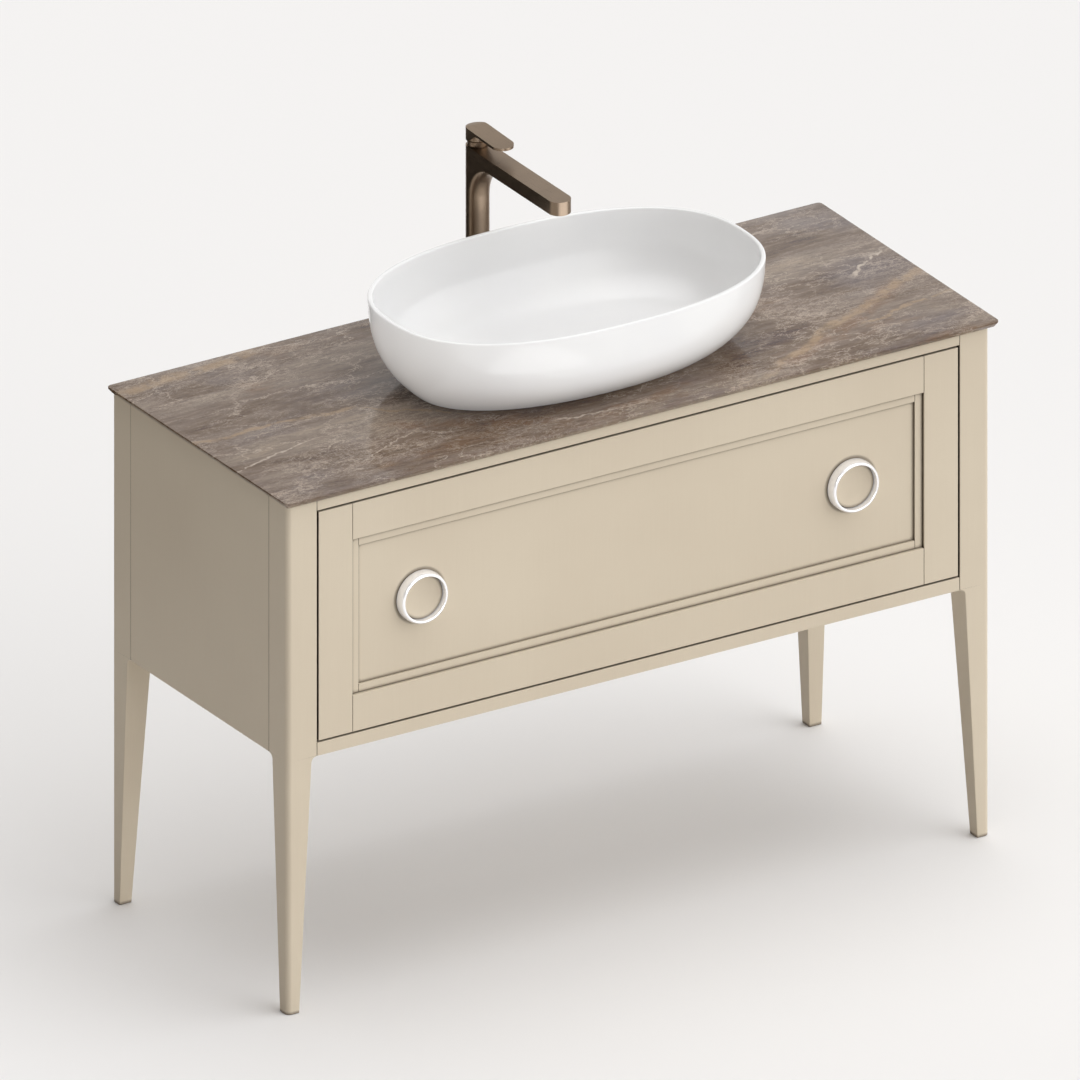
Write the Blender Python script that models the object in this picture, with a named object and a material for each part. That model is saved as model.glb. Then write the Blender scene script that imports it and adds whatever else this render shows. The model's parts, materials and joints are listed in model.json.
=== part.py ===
"""Vessel sink on a one-drawer vanity stand, with its mixer tap, waste and trap.

Metres, +Z up, the front faces -Y and the rear is flush with the wall plane.
The origin is on the floor, under the middle of the worktop.
"""

import math

import bmesh
import bpy
from mathutils import Matrix, Vector

GAP = 0.0003                      # clearance between pieces that touch

# Worktop
TOP_WIDTH = 1.200
TOP_DEPTH = 0.485
TOP_THICKNESS = 0.010
TOP_LIP = 0.003                   # vertical part of the edge
TOP_UNDERCUT = 0.006              # how far the chamfer runs in below the lip
TOP_CORNER = 0.007
TOP_Z = 0.808                     # upper face
TOP_BASE_Z = TOP_Z - TOP_THICKNESS
WALL_Y = TOP_DEPTH / 2

# Legs
LEG_SIZE = 0.050
LEG_OUTER_X = 0.5904
LEG_FRONT_Y = -0.2294
LEG_CORNER = 0.008
LEG_TAPER_TOP = 0.041             # width just below the cabinet
LEG_FOOT = 0.0205                 # width at the floor
BODY_Z = 0.395                    # underside of the cabinet
BODY_TOP_Z = TOP_BASE_Z - GAP
LEG_INNER_X = LEG_OUTER_X - LEG_SIZE
LEG_BEVEL = 0.0012

# Carcass
PANEL_THICKNESS = 0.018
FRONT_THICKNESS = 0.020
FRONT_BACK_Y = LEG_FRONT_Y + FRONT_THICKNESS
FRONT_BOTTOM_RAIL_TOP = 0.4155
FRONT_TOP_RAIL_BASE = 0.779
REAR_RAILS = {"rear_bottom_rail": (BODY_Z, 0.455), "rear_top_rail": (0.690, 0.760)}
EDGE_BEVEL = 0.001

# Drawer front
FRONT_HALF_X = 0.5375
FRONT_Z = (0.4185, 0.776)
FRAME_WIDTH = 0.057
MOULDING_WIDTH = 0.0125
MOULDING_RECESS = 0.0045
MOULDING_BEVEL = 0.0006
FIELD_RECESS = 0.0085             # from the frame's face to the panel's face
FIELD_THICKNESS = 0.008

# Drawer box
BOX_HALF_X = 0.5272
BOX_SIDE = 0.013
BOX_FRONT_Y = FRONT_BACK_Y + GAP
BOX_REAR_Y = 0.170
BOX_BASE_Z = 0.4265
BOX_TOP_Z = 0.700
BOX_FLOOR_Z = (0.4368, 0.4448)
CUTOUT_HALF_X = 0.0775            # space left for the trap
CUTOUT_FRONT_Y = -0.0963
CUTOUT_WALL = 0.012

# Runners, three nested channels on each side
RUNNER_Z = 0.585
RUNNER_SHEET = 0.0012
RUNNER_OUTER_X = LEG_INNER_X - GAP
FIXED_RUNNER = (0.0116, 0.0225)   # flange depth and half height
MIDDLE_RUNNER = (0.0083, 0.0175)
DRAWER_RUNNER = (0.0075, 0.0125)
MIDDLE_RUNNER_STEP = 0.0018       # from the fixed runner's back to the middle one's
RUNNER_FRONT_Y = -0.205
FIXED_RUNNER_REAR_Y = 0.212
DRAWER_RUNNER_REAR_Y = 0.168

# Knobs
KNOB_X = 0.3624
KNOB_Z = 0.6012
KNOB_RADIUS = 0.040
KNOB_BORE = 0.034
KNOB_DEPTH = 0.017
DISH_EDGE = 0.007                 # height of the insert's edge above the panel
DISH_SAG = 0.0035
SCREW_RADIUS = 0.002
SCREW_HEAD = 0.0042
SCREW_HEAD_HEIGHT = 0.0022
SCREW_BITE = 0.0022               # how far the screw enters the insert

# Basin, oval in plan
BASIN_Y = -0.036
BASIN_A = 0.3002                  # half length of the rim
BASIN_B = 0.1896                  # half width of the rim
BASIN_POWER = 2.44                # superellipse exponent of the rim
BASIN_FOOT_POWER = 2.21
BASIN_FOOT_INSET_A = 0.056
BASIN_FOOT_INSET_B = 0.067
BASIN_WALL_CURVE = 3.0
BASIN_HEIGHT = 0.136
BASIN_RIM = 0.007
BASIN_RIM_ROUND = 0.0025
BASIN_FLOOR_Z = TOP_Z + 0.017
BASIN_BOWL_INSET = 0.090
BASIN_BASE_Z = TOP_Z + GAP
BASIN_RIM_Z = TOP_Z + BASIN_HEIGHT
BASIN_SIDES = 64

# Waste and trap
WASTE_X = 0.0
WASTE_Y = BASIN_Y
WASTE_TUBE = 0.0225
WASTE_FLANGE = 0.0325
WASTE_SEAT_Z = TOP_Z + 0.0115
WASTE_BORE = 0.018
WASTE_BASE_Z = 0.760
WASTE_NUT_RADIUS = 0.030
WASTE_NUT_BASE_Z = 0.780
CAP_RADIUS = 0.034
CAP_EDGE = 0.0025
CAP_CROWN = 0.0045
CAP_ROD = 0.004
CAP_ROD_BASE_Z = 0.785
CAP_GUIDE = 0.0165
CAP_GUIDE_Z = (0.797, 0.800)
PIPE_RADIUS = 0.016
PIPE_WALL = 0.0014
PIPE_COLLAR = 0.0047              # height of the tailpiece's collar
TAIL_BASE_Z = 0.600
TRAP_RADIUS = 0.032
TRAP_WALL = 0.003
TRAP_Z = (0.620, 0.690)           # from the cup's joint to the shoulder
TRAP_NECK = 0.020
TRAP_NECK_HEIGHT = 0.016
TRAP_NUT_RADIUS = 0.024
TRAP_NUT_HEIGHT = 0.018
CUP_BASE_Z = 0.562
OUTLET_Z = 0.655
WALL_FLANGE_RADIUS = 0.030
WALL_FLANGE_HUB = 0.022
WALL_FLANGE_DEPTH = 0.006

# Mixer tap
TAP_Y = 0.2037
TAP_RADIUS = 0.017
TAP_TOP_Z = TOP_Z + 0.249
SPOUT_BASE_Z = TOP_Z + 0.228
SPOUT_TIP_Y = -0.016              # centre of the spout's round end
SPOUT_FILLET = 0.056              # from the post into the spout
SOCKET_RADIUS = 0.0137            # bore that holds the cartridge
PIVOT_Z = TOP_Z + 0.235           # ball centre that the lever tips about
CARTRIDGE_BASE = 0.021            # below the pivot
CARTRIDGE_TOP = 0.007             # above the pivot
CARTRIDGE_WELL = 0.006            # depth of the stem's well below the pivot
COLLAR_BORE = 0.009
DOME_RADIUS = 0.0266
COLLAR_RADIUS = 0.015
STEM_RADIUS = 0.0035
STEM_LEAN = math.radians(10)
LEVER_REACH = 0.066
LEVER_BASE_Z = TOP_Z + 0.258
LEVER_TOP_REAR = TOP_Z + 0.2773
LEVER_TOP_FRONT = TOP_Z + 0.2746
LEVER_TIP = 0.004                 # thickness at the tip
LEVER_FACET = 0.0056              # facet line's distance behind the axis
LEVER_REAR_SLOPE = 0.12
AERATOR_RADIUS = 0.012
AERATOR_Y = -0.013
AERATOR_HEIGHT = 0.0105
SHANK_RADIUS = 0.0165
SHANK_BORE = 0.0125
SHANK_BASE_Z = 0.770
SHANK_NUT_RADIUS = 0.024
SHANK_NUT_HEIGHT = 0.014
INLET_X = 0.006
INLET_RADIUS = 0.005
INLET_BORE = 0.003
INLET_BASE_Z = 0.720

ROUND_SIDES = 32


# ---------------------------------------------------------------- materials

def srgb(*levels):
    """Linear colour from 0-255 display levels."""
    linear = []
    for level in levels:
        value = level / 255
        linear.append(value / 12.92 if value <= 0.04045 else ((value + 0.055) / 1.055) ** 2.4)
    return (*linear, 1.0)


def make_material(name, colour, roughness, metallic=0.0):
    material = bpy.data.materials.new(name)
    material.use_nodes = True
    shader = material.node_tree.nodes["Principled BSDF"]
    shader.inputs["Base Color"].default_value = colour
    shader.inputs["Roughness"].default_value = roughness
    shader.inputs["Metallic"].default_value = metallic
    material.diffuse_color = colour
    return material


PAINT = (srgb(208, 195, 177), 0.42)
MARBLE = (srgb(150, 135, 124), 0.12)
CERAMIC = (srgb(240, 240, 240), 0.08)
CARCASS = (srgb(214, 203, 188), 0.55)
CHROME = (srgb(225, 225, 228), 0.10, 1.0)
BRONZE = (srgb(148, 131, 116), 0.30, 1.0)
STEEL = (srgb(168, 170, 172), 0.35, 1.0)
BRASS = (srgb(190, 160, 95), 0.30, 1.0)
PLASTIC = (srgb(236, 236, 232), 0.45)


# ------------------------------------------------------------------ objects

def world_origin(parent):
    origin = Vector((0, 0, 0))
    while parent:
        origin += parent.location
        parent = parent.parent
    return origin


def make_empty(name, location, parent=None):
    empty = bpy.data.objects.new(name, None)
    bpy.context.collection.objects.link(empty)
    empty.location = Vector(location) - world_origin(parent)
    empty.parent = parent
    return empty


def make_object(name, bm, finish, origin=(0, 0, 0), parent=None, smooth=False):
    """Turn world-space geometry into an object with its origin at origin."""
    bmesh.ops.translate(bm, verts=bm.verts, vec=-Vector(origin))
    bmesh.ops.recalc_face_normals(bm, faces=bm.faces)
    mesh = bpy.data.meshes.new(name)
    bm.to_mesh(mesh)
    bm.free()
    obj = bpy.data.objects.new(name, mesh)
    bpy.context.collection.objects.link(obj)
    obj.location = Vector(origin) - world_origin(parent)
    obj.parent = parent
    mesh.materials.append(make_material(name, *finish))
    if smooth:
        mesh.shade_smooth()
        mesh.set_sharp_from_angle(angle=math.radians(35))
    return obj


def add_bevel(obj, width, segments=1):
    bevel = obj.modifiers.new("edges", "BEVEL")
    bevel.width = width
    bevel.segments = segments
    bevel.limit_method = "ANGLE"
    bevel.angle_limit = math.radians(35)


def cut(obj, cutter):
    cutter.hide_render = True
    cutter.display_type = "WIRE"
    boolean = obj.modifiers.new("cut_" + cutter.name, "BOOLEAN")
    boolean.operation = "DIFFERENCE"
    boolean.solver = "EXACT"
    boolean.object = cutter


# ------------------------------------------------------------------- shapes

def arc(centre, radius, start, end, steps):
    """Points of an arc in a plane, angles in degrees, both ends included."""
    points = []
    for step in range(steps + 1):
        angle = math.radians(start + (end - start) * step / steps)
        points.append((centre[0] + radius * math.cos(angle), centre[1] + radius * math.sin(angle)))
    return points


def loft(loops, ring=False, cap_end=True):
    """Skin matching loops; capped at its ends, or joined last to first as a ring."""
    bm = bmesh.new()
    rows = [[bm.verts.new(point) for point in loop] for loop in loops]
    pairs = list(zip(rows, rows[1:]))
    if ring:
        pairs.append((rows[-1], rows[0]))
    else:
        bm.faces.new(rows[0])
        if cap_end:
            bm.faces.new(rows[-1])
    count = len(rows[0])
    for lower, upper in pairs:
        for i in range(count):
            j = (i + 1) % count
            bm.faces.new((lower[i], lower[j], upper[j], upper[i]))
    return bm


def box(name, low, high, finish, parent=None, bevel=EDGE_BEVEL):
    centre = (Vector(low) + Vector(high)) / 2
    size = Vector(high) - Vector(low)
    bm = bmesh.new()
    bmesh.ops.create_cube(bm, size=1.0)
    bmesh.ops.scale(bm, vec=size, verts=bm.verts)
    bmesh.ops.translate(bm, vec=centre, verts=bm.verts)
    obj = make_object(name, bm, finish, origin=centre, parent=parent)
    if bevel:
        add_bevel(obj, bevel)
    return obj


def prism(outline, axis, low, high):
    """Extrude a flat outline along X, Y or Z; the outline gives the other two axes in order."""
    loops = []
    for level in (low, high):
        loop = []
        for first, second in outline:
            point = [first, second]
            point.insert("XYZ".index(axis), level)
            loop.append(point)
        loops.append(loop)
    return loft(loops)


def revolve(profile, axis_point, direction="Z", sides=ROUND_SIDES):
    """Turn a closed (radius, distance) profile about an axis; radius 0 becomes one vertex."""
    turn = {
        "Z": Matrix.Identity(3),
        "Y": Matrix.Rotation(math.radians(-90), 3, "X"),
        "-Y": Matrix.Rotation(math.radians(90), 3, "X"),
    }[direction]
    bm = bmesh.new()
    rings = []
    for radius, distance in profile:
        count = sides if radius > 0 else 1
        ring = []
        for i in range(count):
            angle = 2 * math.pi * i / sides
            local = Vector((radius * math.cos(angle), radius * math.sin(angle), distance))
            ring.append(bm.verts.new(turn @ local + Vector(axis_point)))
        rings.append(ring)
    for ring, after in zip(rings, rings[1:] + rings[:1]):
        join_rings(bm, ring, after)
    return bm


def join_rings(bm, ring, after):
    if len(ring) == 1 and len(after) == 1:
        return
    sides = max(len(ring), len(after))
    for i in range(sides):
        j = (i + 1) % sides
        corners = [ring[i % len(ring)], ring[j % len(ring)], after[j % len(after)], after[i % len(after)]]
        bm.faces.new(list(dict.fromkeys(corners)))


def tube_profile(outer, inner, low, high):
    return [(outer, low), (outer, high), (inner, high), (inner, low)]


def rod_profile(radius, low, high):
    return [(0, low), (radius, low), (radius, high), (0, high)]


# ------------------------------------------------------------------ worktop

def rounded_rectangle(half_x, half_y, radius, z):
    loop = []
    corners = ((1, 1, 0), (-1, 1, 90), (-1, -1, 180), (1, -1, 270))
    for sign_x, sign_y, start in corners:
        centre = (sign_x * (half_x - radius), sign_y * (half_y - radius))
        loop += [(x, y, z) for x, y in arc(centre, radius, start, start + 90, 4)]
    return loop


def make_worktop():
    half_x = TOP_WIDTH / 2
    half_y = TOP_DEPTH / 2
    loops = [
        rounded_rectangle(half_x - TOP_UNDERCUT, half_y - TOP_UNDERCUT, 0.001, TOP_BASE_Z),
        rounded_rectangle(half_x, half_y, TOP_CORNER, TOP_Z - TOP_LIP),
        rounded_rectangle(half_x, half_y, TOP_CORNER, TOP_Z),
    ]
    top = make_object("countertop", loft(loops), MARBLE)
    through = (TOP_BASE_Z - 0.01, TOP_Z + 0.01)
    waste = rod_profile(WASTE_TUBE + 0.001, *through)
    cut(top, make_object("waste_hole", revolve(waste, (WASTE_X, WASTE_Y, 0)), MARBLE))
    shank = rod_profile(TAP_RADIUS, *through)
    cut(top, make_object("tap_hole", revolve(shank, (0, TAP_Y, 0)), MARBLE))


# --------------------------------------------------------------- leg frame

def leg_section(outer_x, outer_y, width, z):
    """Square section grown inwards from the outer corner, which is rounded."""
    sign_x = math.copysign(1, outer_x)
    sign_y = math.copysign(1, outer_y)
    corner = arc((LEG_CORNER, LEG_CORNER), LEG_CORNER, 180, 270, 5)
    section = corner + [(width, 0), (width, width), (0, width)]
    return [(outer_x - sign_x * u, outer_y - sign_y * v, z) for u, v in section]


def make_leg(name, outer_x, outer_y):
    fillet = LEG_SIZE - LEG_TAPER_TOP
    widths = [(LEG_FOOT, 0.0)]
    for width, z in arc((LEG_SIZE, BODY_Z - fillet), fillet, 180, 90, 3):
        widths.append((width, z))
    widths.append((LEG_SIZE, BODY_TOP_Z))
    loops = [leg_section(outer_x, outer_y, width, z) for width, z in widths]
    leg = make_object(name, loft(loops), PAINT, origin=(outer_x, outer_y, 0))
    add_bevel(leg, LEG_BEVEL)


def make_leg_frame():
    for side, sign in (("left", -1), ("right", 1)):
        make_leg("leg_front_" + side, sign * LEG_OUTER_X, LEG_FRONT_Y)
        make_leg("leg_rear_" + side, sign * LEG_OUTER_X, WALL_Y)
        outer = sign * LEG_OUTER_X
        inner = sign * (LEG_OUTER_X - PANEL_THICKNESS)
        low = (min(outer, inner), LEG_FRONT_Y + LEG_SIZE + GAP, BODY_Z)
        high = (max(outer, inner), WALL_Y - LEG_SIZE - GAP, BODY_TOP_Z)
        box("side_panel_" + side, low, high, PAINT)
    reach = LEG_INNER_X - GAP
    front_rails = {
        "front_bottom_rail": (BODY_Z, FRONT_BOTTOM_RAIL_TOP),
        "front_top_rail": (FRONT_TOP_RAIL_BASE, BODY_TOP_Z),
    }
    for name, (low_z, high_z) in front_rails.items():
        box(name, (-reach, LEG_FRONT_Y, low_z), (reach, FRONT_BACK_Y, high_z), PAINT)
    for name, (low_z, high_z) in REAR_RAILS.items():
        box(name, (-reach, WALL_Y - PANEL_THICKNESS, low_z), (reach, WALL_Y, high_z), PAINT)


# ------------------------------------------------------------- drawer front

def make_drawer_front(parent):
    low_z, high_z = FRONT_Z
    inner_x = FRONT_HALF_X - FRAME_WIDTH
    for side, sign in (("left", -1), ("right", 1)):
        edges = sorted((sign * FRONT_HALF_X, sign * inner_x))
        low = (edges[0], LEG_FRONT_Y, low_z)
        high = (edges[1], FRONT_BACK_Y, high_z)
        box("drawer_stile_" + side, low, high, PAINT, parent)
    rails = {
        "drawer_rail_bottom": (low_z, low_z + FRAME_WIDTH),
        "drawer_rail_top": (high_z - FRAME_WIDTH, high_z),
    }
    reach = inner_x - GAP
    for name, (base, top) in rails.items():
        box(name, (-reach, LEG_FRONT_Y, base), (reach, FRONT_BACK_Y, top), PAINT, parent)
    field_low_z = low_z + FRAME_WIDTH + GAP
    field_high_z = high_z - FRAME_WIDTH - GAP
    field_y = LEG_FRONT_Y + FIELD_RECESS
    low = (-reach, field_y, field_low_z)
    high = (reach, field_y + FIELD_THICKNESS, field_high_z)
    panel = box("drawer_panel", low, high, PAINT, parent, bevel=0)
    make_mouldings(reach, field_low_z, field_high_z, parent)
    make_knob("left", -1, parent, panel)
    make_knob("right", 1, parent, panel)


def make_mouldings(reach, low_z, high_z, parent):
    """Four strips that frame the panel: the upright ones run the full height."""
    front_y = LEG_FRONT_Y + MOULDING_RECESS
    back_y = LEG_FRONT_Y + FIELD_RECESS - GAP
    inner = reach - MOULDING_WIDTH
    low_z += GAP
    high_z -= GAP
    strips = {
        "left": (GAP - reach, -inner, low_z, high_z),
        "right": (inner, reach - GAP, low_z, high_z),
        "bottom": (GAP - inner, inner - GAP, low_z, low_z + MOULDING_WIDTH),
        "top": (GAP - inner, inner - GAP, high_z - MOULDING_WIDTH, high_z),
    }
    for name, (left, right, base, top) in strips.items():
        low = (left, front_y, base)
        high = (right, back_y, top)
        box("moulding_" + name, low, high, PAINT, parent, bevel=MOULDING_BEVEL)


def make_knob(side, sign, parent, panel):
    face_y = LEG_FRONT_Y + FIELD_RECESS - GAP
    centre = (sign * KNOB_X, face_y, KNOB_Z)
    ring = [
        (KNOB_BORE, 0),
        (KNOB_RADIUS - 0.001, 0),
        (KNOB_RADIUS, 0.001),
        (KNOB_RADIUS, KNOB_DEPTH / 3),
        (KNOB_RADIUS - 0.0005, KNOB_DEPTH - 0.003),
        (KNOB_RADIUS - 0.0012, KNOB_DEPTH - 0.001),
        (KNOB_RADIUS - 0.0025, KNOB_DEPTH),
        (KNOB_BORE + 0.0015, KNOB_DEPTH),
        (KNOB_BORE, KNOB_DEPTH - 0.0015),
    ]
    bm = revolve(ring, centre, "-Y")
    make_object("knob_ring_" + side, bm, CHROME, origin=centre, parent=parent, smooth=True)
    edge = KNOB_BORE - GAP
    dish = [(0, 0), (edge, 0), (edge, DISH_EDGE)]
    for step in range(1, 5):
        radius = edge * (1 - step / 4)
        dish.append((radius, DISH_EDGE - DISH_SAG * (1 - (radius / edge) ** 2)))
    bm = revolve(dish, centre, "-Y")
    insert = make_object("knob_dish_" + side, bm, PAINT, origin=centre, parent=parent, smooth=True)
    make_knob_screw(side, centre, parent, panel, insert)


def make_knob_screw(side, centre, parent, panel, insert):
    """Screw from inside the drawer, through the panel and into the knob's insert."""
    seat = FIELD_THICKNESS + 2 * GAP
    tip = -SCREW_BITE
    head = seat + SCREW_HEAD_HEIGHT
    profile = [
        (0, tip),
        (SCREW_RADIUS, tip),
        (SCREW_RADIUS, seat),
        (SCREW_HEAD, seat),
        (SCREW_HEAD - 0.0006, head),
        (0, head),
    ]
    screw = revolve(profile, centre, "Y", sides=16)
    make_object("knob_screw_" + side, screw, STEEL, origin=centre, parent=parent, smooth=True)
    hole = revolve(rod_profile(SCREW_RADIUS + GAP, tip - GAP, head), centre, "Y", sides=16)
    cutter = make_object("screw_hole_" + side, hole, STEEL, origin=centre, parent=parent)
    cut(panel, cutter)
    cut(insert, cutter)


# --------------------------------------------------------------- drawer box

def make_drawer_box(parent):
    floor_base, floor_top = BOX_FLOOR_Z
    wall_base = floor_top + GAP
    inner_x = BOX_HALF_X - BOX_SIDE
    for side, sign in (("left", -1), ("right", 1)):
        edges = sorted((sign * BOX_HALF_X, sign * inner_x))
        low = (edges[0], BOX_FRONT_Y, BOX_BASE_Z)
        box("drawer_side_" + side, low, (edges[1], BOX_REAR_Y, BOX_TOP_Z), CARCASS, parent)
        edges = sorted((sign * (inner_x - GAP), sign * (CUTOUT_HALF_X + CUTOUT_WALL + GAP)))
        low = (edges[0], BOX_REAR_Y - BOX_SIDE, wall_base)
        box("drawer_back_" + side, low, (edges[1], BOX_REAR_Y, BOX_TOP_Z), CARCASS, parent)
    reach = inner_x - GAP
    low = (-reach, BOX_FRONT_Y, floor_base)
    box("drawer_bottom", low, (reach, BOX_REAR_Y, floor_top), CARCASS, parent, bevel=0)
    outer = CUTOUT_HALF_X + CUTOUT_WALL
    outline = [
        (-outer, BOX_REAR_Y),
        (-outer, CUTOUT_FRONT_Y - CUTOUT_WALL),
        (outer, CUTOUT_FRONT_Y - CUTOUT_WALL),
        (outer, BOX_REAR_Y),
        (CUTOUT_HALF_X, BOX_REAR_Y),
        (CUTOUT_HALF_X, CUTOUT_FRONT_Y),
        (-CUTOUT_HALF_X, CUTOUT_FRONT_Y),
        (-CUTOUT_HALF_X, BOX_REAR_Y),
    ]
    make_object("siphon_cutout_wall", prism(outline, "Z", wall_base, BOX_TOP_Z), CARCASS, parent=parent)


def channel_outline(sign, web_x, depth, half_height):
    """C section: its web at web_x, its flanges reaching depth across the cabinet."""
    sheet = RUNNER_SHEET
    toward = math.copysign(1, depth)
    outline = [
        (web_x, -half_height),
        (web_x + depth, -half_height),
        (web_x + depth, -half_height + sheet),
        (web_x + toward * sheet, -half_height + sheet),
        (web_x + toward * sheet, half_height - sheet),
        (web_x + depth, half_height - sheet),
        (web_x + depth, half_height),
        (web_x, half_height),
    ]
    return [(sign * x, RUNNER_Z + z) for x, z in outline]


def make_runners(drawer, middle):
    """Each side's fixed and middle channels open inwards, and the drawer's opens outwards."""
    outer = RUNNER_OUTER_X
    middle_x = outer - MIDDLE_RUNNER_STEP
    drawer_x = BOX_HALF_X + GAP
    fixed_span = (RUNNER_FRONT_Y, FIXED_RUNNER_REAR_Y)
    middle_span = (RUNNER_FRONT_Y, DRAWER_RUNNER_REAR_Y)
    drawer_span = (BOX_FRONT_Y + 0.0006, DRAWER_RUNNER_REAR_Y)
    channels = (
        ("runner_fixed_", outer, -FIXED_RUNNER[0], FIXED_RUNNER[1], fixed_span, None),
        ("runner_middle_", middle_x, -MIDDLE_RUNNER[0], MIDDLE_RUNNER[1], middle_span, middle),
        ("runner_drawer_", drawer_x, DRAWER_RUNNER[0], DRAWER_RUNNER[1], drawer_span, drawer),
    )
    for side, sign in (("left", -1), ("right", 1)):
        for name, web_x, depth, half_height, span, parent in channels:
            outline = channel_outline(sign, web_x, depth, half_height)
            make_object(name + side, prism(outline, "Y", *span), STEEL, parent=parent)


# -------------------------------------------------------------------- basin

def oval(half_a, half_b, power, z):
    """Superellipse loop about the basin's centre."""
    loop = []
    for i in range(BASIN_SIDES):
        angle = 2 * math.pi * (i + 0.5) / BASIN_SIDES
        cosine = math.cos(angle)
        sine = math.sin(angle)
        x = half_a * math.copysign(abs(cosine) ** (2 / power), cosine)
        y = half_b * math.copysign(abs(sine) ** (2 / power), sine)
        loop.append((x, BASIN_Y + y, z))
    return loop


def outer_oval(height):
    """Outer wall at a height above the basin's base."""
    below = 1 - height / BASIN_HEIGHT
    inset = below ** BASIN_WALL_CURVE
    power = BASIN_POWER + (BASIN_FOOT_POWER - BASIN_POWER) * below
    return (BASIN_A - BASIN_FOOT_INSET_A * inset, BASIN_B - BASIN_FOOT_INSET_B * inset, power)


def bowl_oval(turn):
    """Bowl wall; turn runs from 0 degrees at the rim to 90 at the floor."""
    fullness = 0.8
    angle = math.radians(turn)
    across = 1 - math.cos(angle) ** fullness
    down = math.sin(angle) ** fullness
    inset = BASIN_RIM + BASIN_BOWL_INSET * across
    depth = BASIN_RIM_Z - BASIN_RIM_ROUND - BASIN_FLOOR_Z
    power = BASIN_POWER + (BASIN_FOOT_POWER - BASIN_POWER) * across
    z = BASIN_RIM_Z - BASIN_RIM_ROUND - depth * down
    return (BASIN_A - inset, BASIN_B - inset * 1.1, power, z)


def make_basin():
    hole = WASTE_TUBE + 0.0007
    recess = WASTE_FLANGE + 0.0005
    loops = [oval(hole, hole, 2, BASIN_BASE_Z)]
    for height in (0, 0.006, 0.014, 0.024, 0.036, 0.052, 0.075, 0.103):
        loops.append(oval(*outer_oval(height), BASIN_BASE_Z + height))
    rim = BASIN_RIM_ROUND
    for inset, rise in arc((rim, -rim), rim, 180, 90, 2):
        loops.append(oval(BASIN_A - inset, BASIN_B - inset, BASIN_POWER, BASIN_RIM_Z + rise))
    for turn in (0, 15, 30, 45, 60, 75, 90):
        if turn == 0:
            inner = BASIN_RIM - rim
            loops.append(oval(BASIN_A - inner, BASIN_B - inner, BASIN_POWER, BASIN_RIM_Z))
        loops.append(oval(*bowl_oval(turn)))
    loops.append(oval(0.125, 0.060, 2.1, BASIN_FLOOR_Z - 0.0012))
    loops.append(oval(recess, recess, 2, BASIN_FLOOR_Z - 0.0022))
    loops.append(oval(recess, recess, 2, WASTE_SEAT_Z))
    loops.append(oval(hole, hole, 2, WASTE_SEAT_Z))
    make_object("sink_basin", loft(loops, ring=True), CERAMIC, smooth=True)


# ----------------------------------------------------------- waste and trap

def make_waste():
    centre = (WASTE_X, WASTE_Y, 0)
    base = WASTE_SEAT_Z + GAP
    top = base + 0.0028
    flange = [
        (WASTE_BORE, WASTE_BASE_Z),
        (WASTE_TUBE, WASTE_BASE_Z),
        (WASTE_TUBE, base),
        (WASTE_FLANGE, base),
        (WASTE_FLANGE, base + 0.0015),
        (WASTE_FLANGE - 0.002, top),
        (WASTE_BORE + 0.003, top),
        (WASTE_BORE, base),
    ]
    make_object("drain_flange", revolve(flange, centre), CHROME, smooth=True)
    nut = tube_profile(WASTE_NUT_RADIUS, WASTE_TUBE + GAP, WASTE_NUT_BASE_Z, BODY_TOP_Z)
    make_object("drain_nut", revolve(nut, centre, sides=24), BRASS, smooth=True)
    inner = PIPE_RADIUS - PIPE_WALL
    collar = WASTE_TUBE - 0.001
    tail_top = WASTE_BASE_Z - GAP
    tail = [
        (inner, TAIL_BASE_Z),
        (PIPE_RADIUS, TAIL_BASE_Z),
        (PIPE_RADIUS, tail_top - PIPE_COLLAR),
        (collar, tail_top - PIPE_COLLAR),
        (collar, tail_top),
        (inner, tail_top),
    ]
    make_object("drain_tailpiece", revolve(tail, centre, sides=24), CHROME, smooth=True)


def make_drain_cap(parent):
    centre = (WASTE_X, WASTE_Y, 0)
    base = BASIN_FLOOR_Z - 0.0018
    guide_base, guide_top = CAP_GUIDE_Z
    cap = [
        (0, CAP_ROD_BASE_Z),
        (CAP_ROD, CAP_ROD_BASE_Z),
        (CAP_ROD, guide_base),
        (CAP_GUIDE, guide_base),
        (CAP_GUIDE, guide_top),
        (CAP_ROD, guide_top),
        (CAP_ROD, base),
        (CAP_RADIUS, base),
        (CAP_RADIUS, base + CAP_EDGE),
    ]
    for step in range(1, 6):
        radius = CAP_RADIUS * (1 - step / 5)
        cap.append((radius, base + CAP_EDGE + CAP_CROWN * (1 - (radius / CAP_RADIUS) ** 2)))
    bm = revolve(cap, centre)
    make_object("drain_cap", bm, CHROME, origin=(WASTE_X, WASTE_Y, base), parent=parent, smooth=True)


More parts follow.
